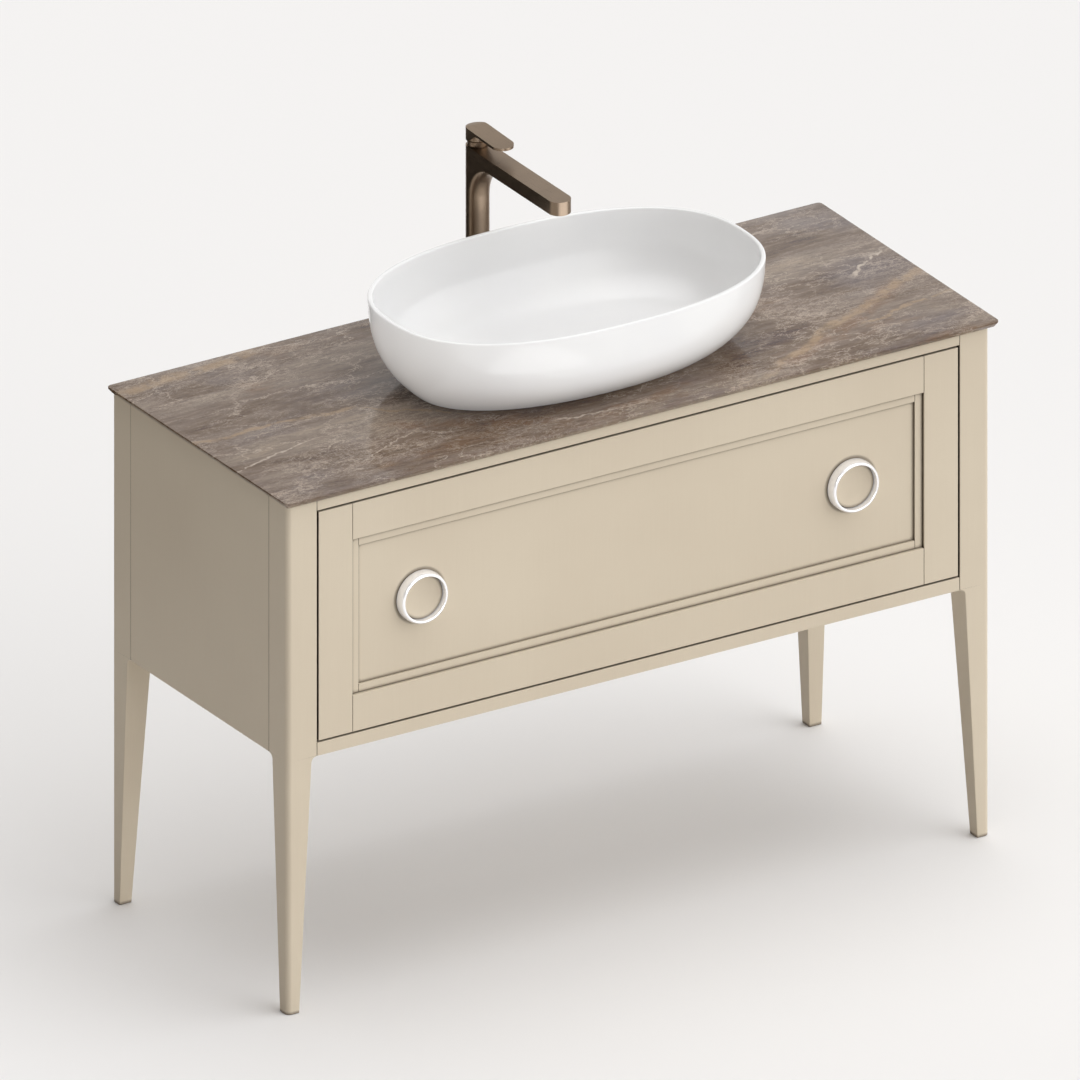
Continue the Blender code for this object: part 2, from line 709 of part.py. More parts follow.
def make_trap():
    centre = (WASTE_X, WASTE_Y, 0)
    outlet_centre = (WASTE_X, 0, OUTLET_Z)
    low_z, high_z = TRAP_Z
    neck_top = high_z + TRAP_NECK_HEIGHT
    mouth = PIPE_RADIUS + GAP
    chamber = TRAP_RADIUS - TRAP_WALL
    body = [
        (chamber, low_z),
        (TRAP_RADIUS, low_z),
        (TRAP_RADIUS, high_z - 0.006),
        (TRAP_NECK, high_z),
        (TRAP_NECK, neck_top),
        (mouth, neck_top),
        (mouth, high_z - 0.004),
        (chamber, high_z - 0.010),
    ]
    trap = make_object("trap_body", revolve(body, centre), CHROME, smooth=True)
    outlet = rod_profile(mouth, 0.020, TRAP_RADIUS + 0.020)
    side = revolve(outlet, (WASTE_X, WASTE_Y, OUTLET_Z), "Y", sides=24)
    cut(trap, make_object("outlet_hole", side, CHROME))
    cup = [
        (0, CUP_BASE_Z),
        (TRAP_RADIUS - 0.008, CUP_BASE_Z),
        (TRAP_RADIUS, CUP_BASE_Z + 0.008),
        (TRAP_RADIUS, low_z - GAP),
        (chamber, low_z - GAP),
        (chamber, CUP_BASE_Z + 0.010),
        (0, CUP_BASE_Z + 0.004),
    ]
    make_object("trap_cup", revolve(cup, centre), CHROME, smooth=True)
    nut = tube_profile(TRAP_NUT_RADIUS, mouth, neck_top + GAP, neck_top + TRAP_NUT_HEIGHT)
    make_object("trap_nut", revolve(nut, centre, sides=24), CHROME, smooth=True)
    pipe_start = WASTE_Y + TRAP_RADIUS - 0.002
    pipe = tube_profile(PIPE_RADIUS, PIPE_RADIUS - PIPE_WALL, pipe_start, WALL_Y)
    bm = revolve(pipe, outlet_centre, "Y", sides=24)
    make_object("trap_outlet_pipe", bm, CHROME, smooth=True)
    flange = [
        (mouth, WALL_Y - WALL_FLANGE_DEPTH),
        (WALL_FLANGE_HUB, WALL_Y - WALL_FLANGE_DEPTH),
        (WALL_FLANGE_RADIUS, WALL_Y - 0.002),
        (WALL_FLANGE_RADIUS, WALL_Y),
        (mouth, WALL_Y),
    ]
    bm = revolve(flange, outlet_centre, "Y", sides=24)
    make_object("wall_flange", bm, CHROME, smooth=True)


# ---------------------------------------------------------------- mixer tap

def stadium(nose_y, z):
    """Outline with a round rear end about the tap's axis and a round nose towards -Y."""
    rear = arc((0, TAP_Y), TAP_RADIUS, 0, 180, 12)
    nose = arc((0, nose_y), TAP_RADIUS, 180, 360, 12)
    return [(x, y, z) for x, y in rear + nose]


def tap_shell():
    """Post, fillet and spout as one skin."""
    fillet_base = SPOUT_BASE_Z - SPOUT_FILLET
    round_nose = TAP_Y - 0.0005   # the post is round; this keeps its two halves' ends apart
    loops = [stadium(round_nose, TOP_Z + GAP), stadium(round_nose, fillet_base)]
    for turn in (15, 30, 45, 60, 75, 90):
        angle = math.radians(turn)
        nose = round_nose - SPOUT_FILLET * (1 - math.cos(angle))
        loops.append(stadium(nose, fillet_base + SPOUT_FILLET * math.sin(angle)))
    bm = loft(loops, cap_end=False)
    bm.verts.ensure_lookup_table()
    half = len(loops[0]) // 2
    post = bm.verts[-2 * half:]
    tip = [bm.verts.new(point) for point in stadium(SPOUT_TIP_Y, SPOUT_BASE_Z)[half:]]
    top = [bm.verts.new(point) for point in stadium(SPOUT_TIP_Y, TAP_TOP_Z)]
    for i in range(half - 1):
        bm.faces.new((post[half + i], post[half + i + 1], tip[i + 1], tip[i]))
        bm.faces.new((tip[i], tip[i + 1], top[half + i + 1], top[half + i]))
        bm.faces.new((post[i], post[i + 1], top[i + 1], top[i]))
    bm.faces.new((post[half - 1], post[half], tip[0], top[half], top[half - 1]))
    bm.faces.new((tip[-1], post[-1], post[0], top[0], top[-1]))
    bm.faces.new(top)
    return bm


def make_tap_body():
    body = make_object("faucet_body", tap_shell(), BRONZE, smooth=True)
    socket = rod_profile(SOCKET_RADIUS, PIVOT_Z - CARTRIDGE_BASE - GAP, TAP_TOP_Z + 0.005)
    cut(body, make_object("cartridge_socket", revolve(socket, (0, TAP_Y, 0)), BRONZE))
    outlet_top = SPOUT_BASE_Z + AERATOR_HEIGHT + 0.0015
    outlet = rod_profile(AERATOR_RADIUS + GAP, SPOUT_BASE_Z - 0.005, outlet_top)
    cut(body, make_object("aerator_socket", revolve(outlet, (0, AERATOR_Y, 0), sides=24), BRONZE))


def make_tap_fittings():
    centre = (0, TAP_Y, 0)
    shell = SOCKET_RADIUS - GAP
    base = PIVOT_Z - CARTRIDGE_BASE
    top = PIVOT_Z + CARTRIDGE_TOP
    well = PIVOT_Z - CARTRIDGE_WELL
    cartridge = [(0, base), (shell, base), (shell, top), (0.007, top), (0.007, well), (0, well)]
    make_object("cartridge", revolve(cartridge, centre, sides=24), PLASTIC, smooth=True)
    nut = tube_profile(shell, 0.0095, top + GAP, TAP_TOP_Z - GAP)
    make_object("cartridge_nut", revolve(nut, centre, sides=24), BRASS, smooth=True)
    rim = SPOUT_BASE_Z + 0.0005
    screen = SPOUT_BASE_Z + 0.003
    spray = [
        (0, screen),
        (AERATOR_RADIUS - 0.003, screen),
        (AERATOR_RADIUS - 0.003, rim),
        (AERATOR_RADIUS, rim),
        (AERATOR_RADIUS, rim + AERATOR_HEIGHT),
        (0, rim + AERATOR_HEIGHT),
    ]
    make_object("aerator", revolve(spray, (0, AERATOR_Y, 0), sides=24), CHROME, smooth=True)
    shank = tube_profile(SHANK_RADIUS, SHANK_BORE, SHANK_BASE_Z, TOP_Z)
    make_object("faucet_shank", revolve(shank, centre, sides=24), BRASS, smooth=True)
    nut = tube_profile(SHANK_NUT_RADIUS, SHANK_RADIUS + GAP, TOP_BASE_Z - SHANK_NUT_HEIGHT, BODY_TOP_Z)
    make_object("faucet_nut", revolve(nut, centre, sides=24), BRASS, smooth=True)
    for name, x in (("inlet_hot", -INLET_X), ("inlet_cold", INLET_X)):
        inlet = tube_profile(INLET_RADIUS, INLET_BORE, INLET_BASE_Z, TOP_Z - 0.002)
        make_object(name, revolve(inlet, (x, TAP_Y, 0), sides=16), BRASS, smooth=True)


def make_collar(parent):
    """Ring under the lever, topped by a dome about the lever's pivot."""
    base = TAP_TOP_Z + GAP
    profile = [(COLLAR_BORE, base), (COLLAR_RADIUS, base)]
    steps = 4
    for step in range(steps + 1):
        radius = COLLAR_RADIUS + (COLLAR_BORE - COLLAR_RADIUS) * step / steps
        profile.append((radius, PIVOT_Z + math.sqrt(DOME_RADIUS ** 2 - radius ** 2)))
    bm = revolve(profile, (0, TAP_Y, 0))
    origin = (0, TAP_Y, base)
    make_object("lever_collar", bm, BRONZE, origin=origin, parent=parent, smooth=True)


def lever_top(y):
    front_y = TAP_Y - LEVER_REACH - TAP_RADIUS
    facet_y = TAP_Y + LEVER_FACET
    slope = (LEVER_TOP_REAR - LEVER_TOP_FRONT) / (facet_y - front_y)
    if y > facet_y:
        return LEVER_TOP_REAR - LEVER_REAR_SLOPE * (y - facet_y)
    return LEVER_TOP_REAR - slope * (facet_y - y)


def lever_base(y):
    heel_y = TAP_Y - COLLAR_RADIUS
    front_y = TAP_Y - LEVER_REACH - TAP_RADIUS
    if y >= heel_y:
        return LEVER_BASE_Z
    rise = lever_top(front_y) - LEVER_TIP - LEVER_BASE_Z
    return LEVER_BASE_Z + rise * (heel_y - y) / (heel_y - front_y)


def make_lever(parent):
    """Flat grip whose top falls and whose underside rises towards the tip."""
    facet_y = TAP_Y + LEVER_FACET
    heel_y = TAP_Y - COLLAR_RADIUS
    facet_turn = math.degrees(math.asin(LEVER_FACET / TAP_RADIUS))
    outline = arc((0, TAP_Y), TAP_RADIUS, facet_turn, 180 - facet_turn, 10)
    outline += [(-TAP_RADIUS, TAP_Y), (-TAP_RADIUS, heel_y)]
    outline += arc((0, TAP_Y - LEVER_REACH), TAP_RADIUS, 180, 360, 14)
    outline += [(TAP_RADIUS, heel_y), (TAP_RADIUS, TAP_Y)]
    bm = bmesh.new()
    lower = [bm.verts.new((x, y, lever_base(y))) for x, y in outline]
    upper = [bm.verts.new((x, y, lever_top(y))) for x, y in outline]
    count = len(outline)
    for i in range(count):
        j = (i + 1) % count
        bm.faces.new((lower[i], lower[j], upper[j], upper[i]))
    behind = [i for i in range(count) if outline[i][1] >= facet_y - 1e-7]
    ahead = [i for i in range(count) if i not in behind[1:-1]]
    bm.faces.new([upper[i] for i in behind])
    split = ahead.index(behind[-1])
    bm.faces.new([upper[i] for i in ahead[split:] + ahead[:split]])
    heel = [i for i in range(count) if outline[i][1] >= heel_y - 1e-7]
    toe = [i for i in range(count) if outline[i][1] <= heel_y + 1e-7]
    bm.faces.new([lower[i] for i in heel])
    bm.faces.new([lower[i] for i in toe])
    pivot = (0, TAP_Y, PIVOT_Z)
    handle = make_object("lever_handle", bm, BRONZE, origin=pivot, parent=parent, smooth=True)
    ball = bmesh.new()
    bmesh.ops.create_uvsphere(ball, u_segments=32, v_segments=24, radius=DOME_RADIUS + 0.0007)
    bmesh.ops.translate(ball, verts=ball.verts, vec=pivot)
    cut(handle, make_object("lever_socket", ball, BRONZE, origin=pivot, parent=parent))
    hole = revolve(rod_profile(STEM_RADIUS + GAP, 0.020, 0.0375), (0, 0, 0), sides=16)
    cut(handle, make_object("stem_hole", lean(hole, pivot), BRONZE, origin=pivot, parent=parent))
    stem = revolve(rod_profile(STEM_RADIUS, -0.004, 0.037), (0, 0, 0), sides=16)
    make_object("lever_stem", lean(stem, pivot), BRASS, origin=pivot, parent=parent, smooth=True)


def lean(bm, pivot):
    """Tip geometry built on the Z axis forwards, and move it to the pivot."""
    turn = Matrix.Translation(pivot) @ Matrix.Rotation(STEM_LEAN, 4, "X")
    bmesh.ops.transform(bm, matrix=turn, verts=bm.verts)
    return bm


# --------------------------------------------------------------------- main

def clear_scene():
    for obj in list(bpy.data.objects):
        bpy.data.objects.remove(obj, do_unlink=True)


def main():
    clear_scene()
    drawer = make_empty("drawer_slide", (0, LEG_FRONT_Y, RUNNER_Z))
    middle = make_empty("runner_slide", (0, LEG_FRONT_Y, RUNNER_Z))
    turn = make_empty("lever_turn", (0, TAP_Y, TAP_TOP_Z))
    lift = make_empty("lever_lift", (0, TAP_Y, PIVOT_Z), parent=turn)
    drain = make_empty("drain_lift", (WASTE_X, WASTE_Y, BASIN_FLOOR_Z))
    make_worktop()
    make_leg_frame()
    make_drawer_front(drawer)
    make_drawer_box(drawer)
    make_runners(drawer, middle)
    make_basin()
    make_waste()
    make_drain_cap(drain)
    make_trap()
    make_tap_body()
    make_tap_fittings()
    make_collar(turn)
    make_lever(lift)


main()
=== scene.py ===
"""The looks of the vessel sink vanity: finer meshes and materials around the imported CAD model.

Metres, +Z up, the front faces -Y. Places and sizes come from the CAD nodes' boxes.
"""

import json
import math

import bmesh
import bpy
from mathutils import Matrix, Vector


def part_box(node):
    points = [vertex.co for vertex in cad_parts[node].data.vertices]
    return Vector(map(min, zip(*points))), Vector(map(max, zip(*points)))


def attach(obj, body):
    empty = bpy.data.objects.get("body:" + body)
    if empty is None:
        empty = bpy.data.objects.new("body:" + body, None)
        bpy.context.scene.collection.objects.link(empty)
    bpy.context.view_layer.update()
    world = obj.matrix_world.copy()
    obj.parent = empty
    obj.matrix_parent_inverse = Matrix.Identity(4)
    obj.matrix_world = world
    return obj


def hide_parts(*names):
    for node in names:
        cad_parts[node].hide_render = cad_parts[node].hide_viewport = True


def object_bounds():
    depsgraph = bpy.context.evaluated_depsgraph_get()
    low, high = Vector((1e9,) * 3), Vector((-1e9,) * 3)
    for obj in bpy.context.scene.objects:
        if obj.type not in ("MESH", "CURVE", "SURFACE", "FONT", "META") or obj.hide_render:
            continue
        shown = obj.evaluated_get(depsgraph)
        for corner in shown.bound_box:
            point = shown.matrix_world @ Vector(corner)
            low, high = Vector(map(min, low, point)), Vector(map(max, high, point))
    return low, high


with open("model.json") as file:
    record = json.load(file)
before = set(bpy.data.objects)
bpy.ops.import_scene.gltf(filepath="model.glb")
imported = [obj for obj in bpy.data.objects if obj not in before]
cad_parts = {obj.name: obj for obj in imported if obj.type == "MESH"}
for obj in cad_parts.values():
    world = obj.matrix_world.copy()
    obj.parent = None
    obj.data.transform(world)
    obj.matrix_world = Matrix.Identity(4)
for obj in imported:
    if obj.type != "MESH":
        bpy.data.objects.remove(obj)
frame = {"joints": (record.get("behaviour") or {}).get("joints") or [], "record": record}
cad_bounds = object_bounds()

# The view: parallel projection from the front left, a little from above
VIEW_AZIMUTH = -32.0
VIEW_ELEVATION = 24.37
VIEW_WIDTH = 1.540
VIEW_DISTANCE = 6.0
AIM_LEFT = 0.0188                 # from the middle of the worktop's upper face
AIM_DOWN = 0.2664

# Radiance of the studio's surroundings, and between which levels each part fades in
WORLD_LEFT = (0.045, 0.028, 0.018)
WORLD_RIGHT = (0.90, 0.90, 0.90)
SIDE_FADE = (-0.35, 0.40)
WORLD_TOP = (2.0, 2.0, 2.0)
TOP_FADE = (0.75, 1.0)
WORLD_KEY = (1.28, 1.28, 1.30)
KEY_FADE = (0.55, 0.98)
KEY_DIRECTION = (0.47, -0.82, 0.33)
FLOOR_HALF = 30.0
FLAG_GAP = 0.90                   # behind the object
FLAG_SPAN = (-2.8, -0.08)         # along X

BODY_OF = {}
for body_name, members in frame["record"]["behaviour"]["bodies"].items():
    for member in members:
        BODY_OF[member] = body_name
SLOT_OF = {row["node"]: row["material_slot"] for row in frame["record"]["subparts"]}


# ------------------------------------------------------------ looks: helpers

def srgb(*levels):
    """Linear colour from 0-255 display levels."""
    linear = []
    for level in levels:
        value = level / 255
        linear.append(value / 12.92 if value <= 0.04045 else ((value + 0.055) / 1.055) ** 2.4)
    return (*linear, 1.0)


class Look:
    """A material: one Principled shader and the procedural nodes that feed it."""

    def __init__(self, name, colour, roughness, metallic=0.0, **sockets):
        self.material = bpy.data.materials.new(name)
        self.material.use_nodes = True
        self.tree = self.material.node_tree
        self.shader = self.tree.nodes["Principled BSDF"]
        self.set(self.shader, {"Base Color": colour, "Roughness": roughness, "Metallic": metallic})
        self.set(self.shader, {key.replace("_", " "): value for key, value in sockets.items()})

    def set(self, node, values):
        for key, value in values.items():
            socket = node.inputs[key]
            if isinstance(value, bpy.types.NodeSocket):
                self.tree.links.new(value, socket)
            else:
                socket.default_value = value

    def node(self, kind, values=None, **options):
        node = self.tree.nodes.new("ShaderNode" + kind)
        for key, value in options.items():
            setattr(node, key, value)
        self.set(node, values or {})
        return node

    def space(self, scale=(1, 1, 1), turn=0.0, shift=(0, 0, 0)):
        """Object coordinates, moved, turned about Z and scaled."""
        place = self.node("TexCoord").outputs["Object"]
        values = {"Vector": place, "Location": shift, "Rotation": (0, 0, turn), "Scale": scale}
        return self.node("Mapping", values).outputs["Vector"]

    def noise(self, vector, scale, detail=3.0, roughness=0.5, distortion=0.0):
        values = {"Vector": vector, "Scale": scale, "Detail": detail}
        values.update({"Roughness": roughness, "Distortion": distortion})
        return self.node("TexNoise", values).outputs["Fac"]

    def math(self, operation, *values):
        node = self.node("Math", operation=operation)
        self.set(node, dict(enumerate(values)))
        return node.outputs[0]

    def range(self, value, low, high, to_low=0.0, to_high=1.0):
        node = self.node("MapRange", interpolation_type="SMOOTHSTEP")
        self.set(node, {"Value": value, "From Min": low, "From Max": high})
        self.set(node, {"To Min": to_low, "To Max": to_high})
        return node.outputs["Result"]

    def ramp(self, factor, stops):
        node = self.node("ValToRGB", {"Fac": factor})
        points = node.color_ramp.elements
        while len(points) < len(stops):
            points.new(0.5)
        for point, (position, colour) in zip(points, stops):
            point.position = position
            point.color = colour
        return node.outputs["Color"]

    def mix(self, factor, first, second, blend="MIX"):
        node = self.node("Mix", data_type="RGBA", blend_type=blend)
        colours = [socket for socket in node.inputs if socket.type == "RGBA"]
        places = (node.inputs["Factor"], *colours)
        for socket, value in zip(places, (factor, first, second)):
            if isinstance(value, bpy.types.NodeSocket):
                self.tree.links.new(value, socket)
            else:
                socket.default_value = value
        return next(socket for socket in node.outputs if socket.type == "RGBA")

    def bump(self, height, strength, distance):
        values = {"Height": height, "Strength": strength, "Distance": distance}
        self.set(self.shader, {"Normal": self.node("Bump", values).outputs["Normal"]})


# ---------------------------------------------------------- looks: materials

SHADE_REACH = 0.007               # how far the lacquer looks for neighbours, near which its colour is darkened as painted shade


def lacquer_look():
    """Sprayed satin lacquer: faint upright grain, orange peel, slow drift in tone, painted shade in
    creases and gaps.
    """
    look = Look("lacquer", srgb(206, 193, 172), 0.42, Specular_IOR_Level=0.3)
    grain = look.noise(look.space((620, 620, 9)), 1.0, 2.0)
    drift = look.noise(look.space(), 3.2, 2.0)
    tone = look.math("ADD", look.math("MULTIPLY", grain, 0.2), look.math("MULTIPLY", drift, 0.8))
    colour = look.ramp(tone, [(0.30, srgb(201, 188, 167)), (0.70, srgb(208, 196, 175))])
    # Painted shade: the colour darkens near neighbouring surfaces, in the moulding's steps and the
    # drawer's gaps.
    openness = look.node("AmbientOcclusion", {"Distance": SHADE_REACH}, samples=16).outputs["AO"]
    # steps is the painted shade along the moulding steps; joints is the painted shade deep in the gaps
    # between parts.
    steps = look.range(openness, 0.70, 0.95, 0.55, 0.0)
    joints = look.range(openness, 0.20, 0.62, 0.45, 0.0)
    # Faces turned upwards stay out of the step shade, painted as if they catch the light from above.
    normal = look.node("SeparateXYZ", {"Vector": look.node("TexCoord").outputs["Normal"]})
    away_from_top_light = look.range(normal.outputs["Z"], 0.2, 0.8, 1.0, 0.0)
    shade = look.math("ADD", look.math("MULTIPLY", steps, away_from_top_light), joints)
    # The painted shade's dark brown.
    colour = look.mix(shade, colour, srgb(52, 36, 20))
    gloss = look.range(drift, 0.3, 0.7, 0.38, 0.47)
    look.set(look.shader, {"Base Color": colour, "Roughness": gloss})
    peel = look.noise(look.space(), 420.0, 2.0, 0.6)
    height = look.math("ADD", look.math("MULTIPLY", peel, 0.6), look.math("MULTIPLY", grain, 0.4))
    look.bump(height, 0.10, 0.0002)
    return look.material


class Vein:
    """A line in the worktop, from start to end in plan, with its width and waviness."""

    def __init__(self, start, end, width, wobble, grain):
        self.start = Vector(start)
        self.run = Vector(end) - self.start
        self.width = width
        self.wobble = wobble
        self.grain = grain

    def mask(self, look):
        place = look.node("TexCoord").outputs["Object"]
        angle = math.atan2(self.run.y, self.run.x)
        mapping = look.node("Mapping", {"Vector": place, "Rotation": (0, 0, angle)}, vector_type="TEXTURE")
        mapping.inputs["Location"].default_value = (self.start.x, self.start.y, 0)
        along_across = look.node("SeparateXYZ", {"Vector": mapping.outputs["Vector"]})
        slow = look.noise(mapping.outputs["Vector"], self.grain, 5.0, 0.62)
        swing = look.math("MULTIPLY", look.math("SUBTRACT", slow, 0.5), self.wobble)
        across = look.math("ABSOLUTE", look.math("ADD", along_across.outputs["Y"], swing))
        core = look.range(across, self.width * 0.25, self.width, 1.0, 0.0)
        length = self.run.length
        fade = length * 0.12
        opening = look.range(along_across.outputs["X"], -fade, fade)
        closing = look.range(along_across.outputs["X"], length - fade, length + fade, 1.0, 0.0)
        broken = look.range(look.noise(mapping.outputs["Vector"], self.grain * 3.0, 4.0, 0.7), 0.34, 0.56)
        ends = look.math("MULTIPLY", opening, closing)
        return look.math("MULTIPLY", look.math("MULTIPLY", core, ends), broken)


GOLD_VEINS = (
    Vein((0.225, -0.225), (0.600, -0.020), 0.0130, 0.050, 9.0),
    Vein((-0.600, 0.008), (-0.330, -0.006), 0.0060, 0.045, 11.0),
    Vein((-0.600, 0.205), (-0.360, 0.236), 0.0170, 0.060, 7.0),
    Vein((-0.330, -0.020), (-0.200, -0.120), 0.0050, 0.060, 14.0),
    Vein((0.430, -0.150), (0.590, -0.110), 0.0060, 0.060, 14.0),
)
WHITE_VEINS = (
    Vein((-0.598, -0.110), (-0.450, -0.070), 0.0030, 0.026, 34.0),
    Vein((0.500, 0.000), (0.590, 0.060), 0.0040, 0.034, 36.0),
    Vein((0.300, 0.120), (0.420, 0.175), 0.0022, 0.030, 34.0),
    Vein((0.330, 0.190), (0.250, 0.225), 0.0022, 0.040, 30.0),
    Vein((-0.120, -0.200), (0.030, -0.215), 0.0024, 0.034, 30.0),
    Vein((-0.420, -0.170), (-0.300, -0.120), 0.0018, 0.040, 34.0),
)
RUST_VEINS = (
    Vein((-0.330, -0.090), (-0.120, -0.190), 0.0200, 0.080, 7.0),
    Vein((-0.060, -0.225), (0.110, -0.185), 0.0150, 0.070, 8.0),
    Vein((0.260, -0.215), (0.540, -0.060), 0.0200, 0.070, 7.0),
)


def veined(look, colour, veins, tint, strength):
    for vein in veins:
        amount = look.math("MULTIPLY", vein.mask(look), strength)
        colour = look.mix(amount, colour, tint)
    return colour


POLISH = 0.105                    # reflected light that the polish adds
STONE_GAIN = 1.2


def stone(*levels):
    """Body colour that shows as these display levels under the polish's pale reflection."""
    return (*[max(value - POLISH, 0.004) / STONE_GAIN for value in srgb(*levels)[:3]], 1.0)


def marble_look():
    """Polished taupe marble: streaks along the slab, fine grain, crackle and a few long veins."""
    look = Look("marble", stone(150, 135, 124), 0.06, Specular_IOR_Level=0.5)

    def tint(value, low, high, strength, *levels):
        return look.mix(look.range(value, low, high, 0.0, strength), colour, stone(*levels))

    streaks = look.noise(look.space((1.6, 6.5, 6.5), 0.10), 2.6, 8.0, 0.66, 0.5)
    colour = look.ramp(streaks, [
        (0.26, stone(106, 92, 83)),
        (0.42, stone(135, 120, 108)),
        (0.52, stone(149, 135, 125)),
        (0.62, stone(160, 147, 135)),
        (0.78, stone(184, 167, 150)),
    ])
    haze = look.noise(look.space((2.4, 5.0, 5.0), 0.05, (3.1, 0.7, 0.0)), 1.7, 5.0, 0.6)
    colour = tint(haze, 0.50, 0.72, 0.6, 139, 132, 134)
    rust = look.noise(look.space((2.2, 5.0, 5.0), 0.2, (7.3, 2.2, 0.0)), 2.3, 6.0, 0.65)
    colour = tint(rust, 0.56, 0.74, 0.45, 158, 128, 104)
    colour = veined(look, colour, RUST_VEINS, stone(158, 126, 104), 0.4)
    fibres = look.noise(look.space((26.0, 150.0, 150.0), 0.08), 1.0, 6.0, 0.72, 0.3)
    colour = tint(fibres, 0.50, 0.72, 0.42, 196, 180, 164)
    colour = tint(fibres, 0.50, 0.28, 0.42, 98, 85, 77)
    colour = crackle(look, colour)
    colour = veined(look, colour, GOLD_VEINS, stone(192, 168, 140), 0.6)
    colour = veined(look, colour, WHITE_VEINS, stone(214, 200, 186), 0.95)
    speck = look.noise(look.space((240.0, 330.0, 330.0)), 1.0, 3.0, 0.7)
    colour = tint(speck, 0.58, 0.74, 0.45, 188, 172, 158)
    colour = tint(speck, 0.42, 0.26, 0.45, 84, 72, 66)
    gloss = look.range(speck, 0.3, 0.7, 0.035, 0.075)
    look.set(look.shader, {"Base Color": colour, "Roughness": gloss})
    look.bump(speck, 0.03, 0.0001)
    return look.material


def crackle(look, colour):
    """Thin pale cracks round angular grains, shown only in patches."""
    place = look.space((7.0, 15.0, 15.0), 0.25)
    bend = look.node("TexNoise", {"Vector": place, "Scale": 2.2, "Detail": 7.0, "Roughness": 0.72})
    offset = look.node("VectorMath", {0: bend.outputs["Color"], 1: 3 * (1.1,)}, operation="MULTIPLY")
    warped = look.node("VectorMath", {0: place, 1: offset.outputs[0]}, operation="ADD")
    for scale, width, strength in ((1.0, 0.020, 0.95), (2.6, 0.036, 0.85), (6.0, 0.060, 0.75)):
        cells = look.node("TexVoronoi", feature="DISTANCE_TO_EDGE")
        look.set(cells, {"Vector": warped.outputs[0], "Scale": scale})
        line = look.range(cells.outputs["Distance"], width * 0.1, width, 1.0, 0.0)
        patch = look.noise(look.space((3.0, 6.0, 6.0), 0.3, (scale, 4.0, 0.0)), 1.6, 4.0, 0.6)
        amount = look.math("MULTIPLY", line, look.range(patch, 0.44, 0.62, 0.0, strength))
        colour = look.mix(amount, colour, stone(214, 199, 184))
    return colour


def ceramic_look():
    """White sanitary glaze over vitreous china."""
    look = Look("ceramic", srgb(223, 223, 223), 0.12)
    drift = look.noise(look.space(), 6.0, 3.0)
    colour = look.ramp(drift, [(0.35, srgb(222, 222, 222)), (0.65, srgb(225, 225, 224))])
    gloss = look.range(look.noise(look.space(), 40.0, 3.0), 0.3, 0.7, 0.09, 0.15)
    look.set(look.shader, {"Base Color": colour, "Roughness": gloss})
    look.bump(look.noise(look.space(), 22.0, 2.0), 0.02, 0.0006)
    return look.material


def metal_look(name, light, dark, roughness, scratch, stretch=(1, 1, 1), depth=0.05, metallic=1.0):
    """Metal with fine marks: stretch sets which way they run."""
    look = Look(name, light, roughness, metallic)
    marks = look.noise(look.space(tuple(scratch * part for part in stretch)), 1.0, 3.0, 0.65)
    drift = look.noise(look.space(), 18.0, 3.0)
    tone = look.math("ADD", look.math("MULTIPLY", marks, 0.6), look.math("MULTIPLY", drift, 0.4))
    colour = look.ramp(tone, [(0.32, dark), (0.68, light)])
    gloss = look.range(marks, 0.3, 0.7, roughness * 0.85, roughness * 1.2)
    look.set(look.shader, {"Base Color": colour, "Roughness": gloss})
    look.bump(marks, depth, 0.00005)
    return look.material


def moulded_look(name, light, dark, roughness):
    """Moulded plastic with a fine sparked texture."""
    look = Look(name, light, roughness)
    grain = look.noise(look.space(), 900.0, 2.0)
    look.set(look.shader, {"Base Color": look.ramp(grain, [(0.3, dark), (0.7, light)])})
    look.bump(grain, 0.15, 0.0001)
    return look.material


def laminate_look():
    """Pale drawer board with a faint linen print."""
    light = srgb(212, 202, 188)
    look = Look("laminate", light, 0.5)
    warp = look.noise(look.space((900, 900, 60)), 1.0, 2.0)
    weft = look.noise(look.space((60, 60, 900)), 1.0, 2.0)
    weave = look.math("MULTIPLY", look.math("ADD", warp, weft), 0.5)
    look.set(look.shader, {"Base Color": look.ramp(weave, [(0.4, srgb(200, 189, 173)), (0.6, light)])})
    look.bump(weave, 0.12, 0.0001)
    return look.material


LOOKS = {
    "paint": lacquer_look(),
    "carcass": laminate_look(),
    "marble": marble_look(),
    "ceramic": ceramic_look(),
    "chrome": metal_look("chrome", srgb(246, 246, 247), srgb(238, 238, 240), 0.16, 300.0,
                         depth=0.01, metallic=0.6),
    "bronze": metal_look("bronze", srgb(143, 124, 104), srgb(127, 109, 90), 0.32, 1400.0,
                         (1, 0.03, 1), 0.12),
    "brass": metal_look("brass", srgb(204, 172, 104), srgb(184, 150, 84), 0.26, 500.0, (1, 1, 0.1)),
    "steel": metal_look("zinc", srgb(186, 188, 190), srgb(164, 166, 170), 0.34, 260.0, (1, 0.1, 1)),
    "plastic": moulded_look("white_plastic", srgb(236, 236, 232), srgb(228, 228, 224), 0.45),
}


# ----------------------------------------------------------- shapes: helpers

def add_piece(node, bm, smooth=35):
    """Make a shown piece that takes over from a CAD node: same body, same material slot."""
    name = node + "_fine"
    bmesh.ops.recalc_face_normals(bm, faces=bm.faces)
    mesh = bpy.data.meshes.new(name)
    bm.to_mesh(mesh)
    bm.free()
    obj = bpy.data.objects.new(name, mesh)
    bpy.context.scene.collection.objects.link(obj)
    mesh.materials.append(LOOKS[SLOT_OF[node]])
    mesh.shade_smooth()
    mesh.set_sharp_from_angle(angle=math.radians(smooth))
    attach(obj, BODY_OF[node])
    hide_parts(node)
    return obj


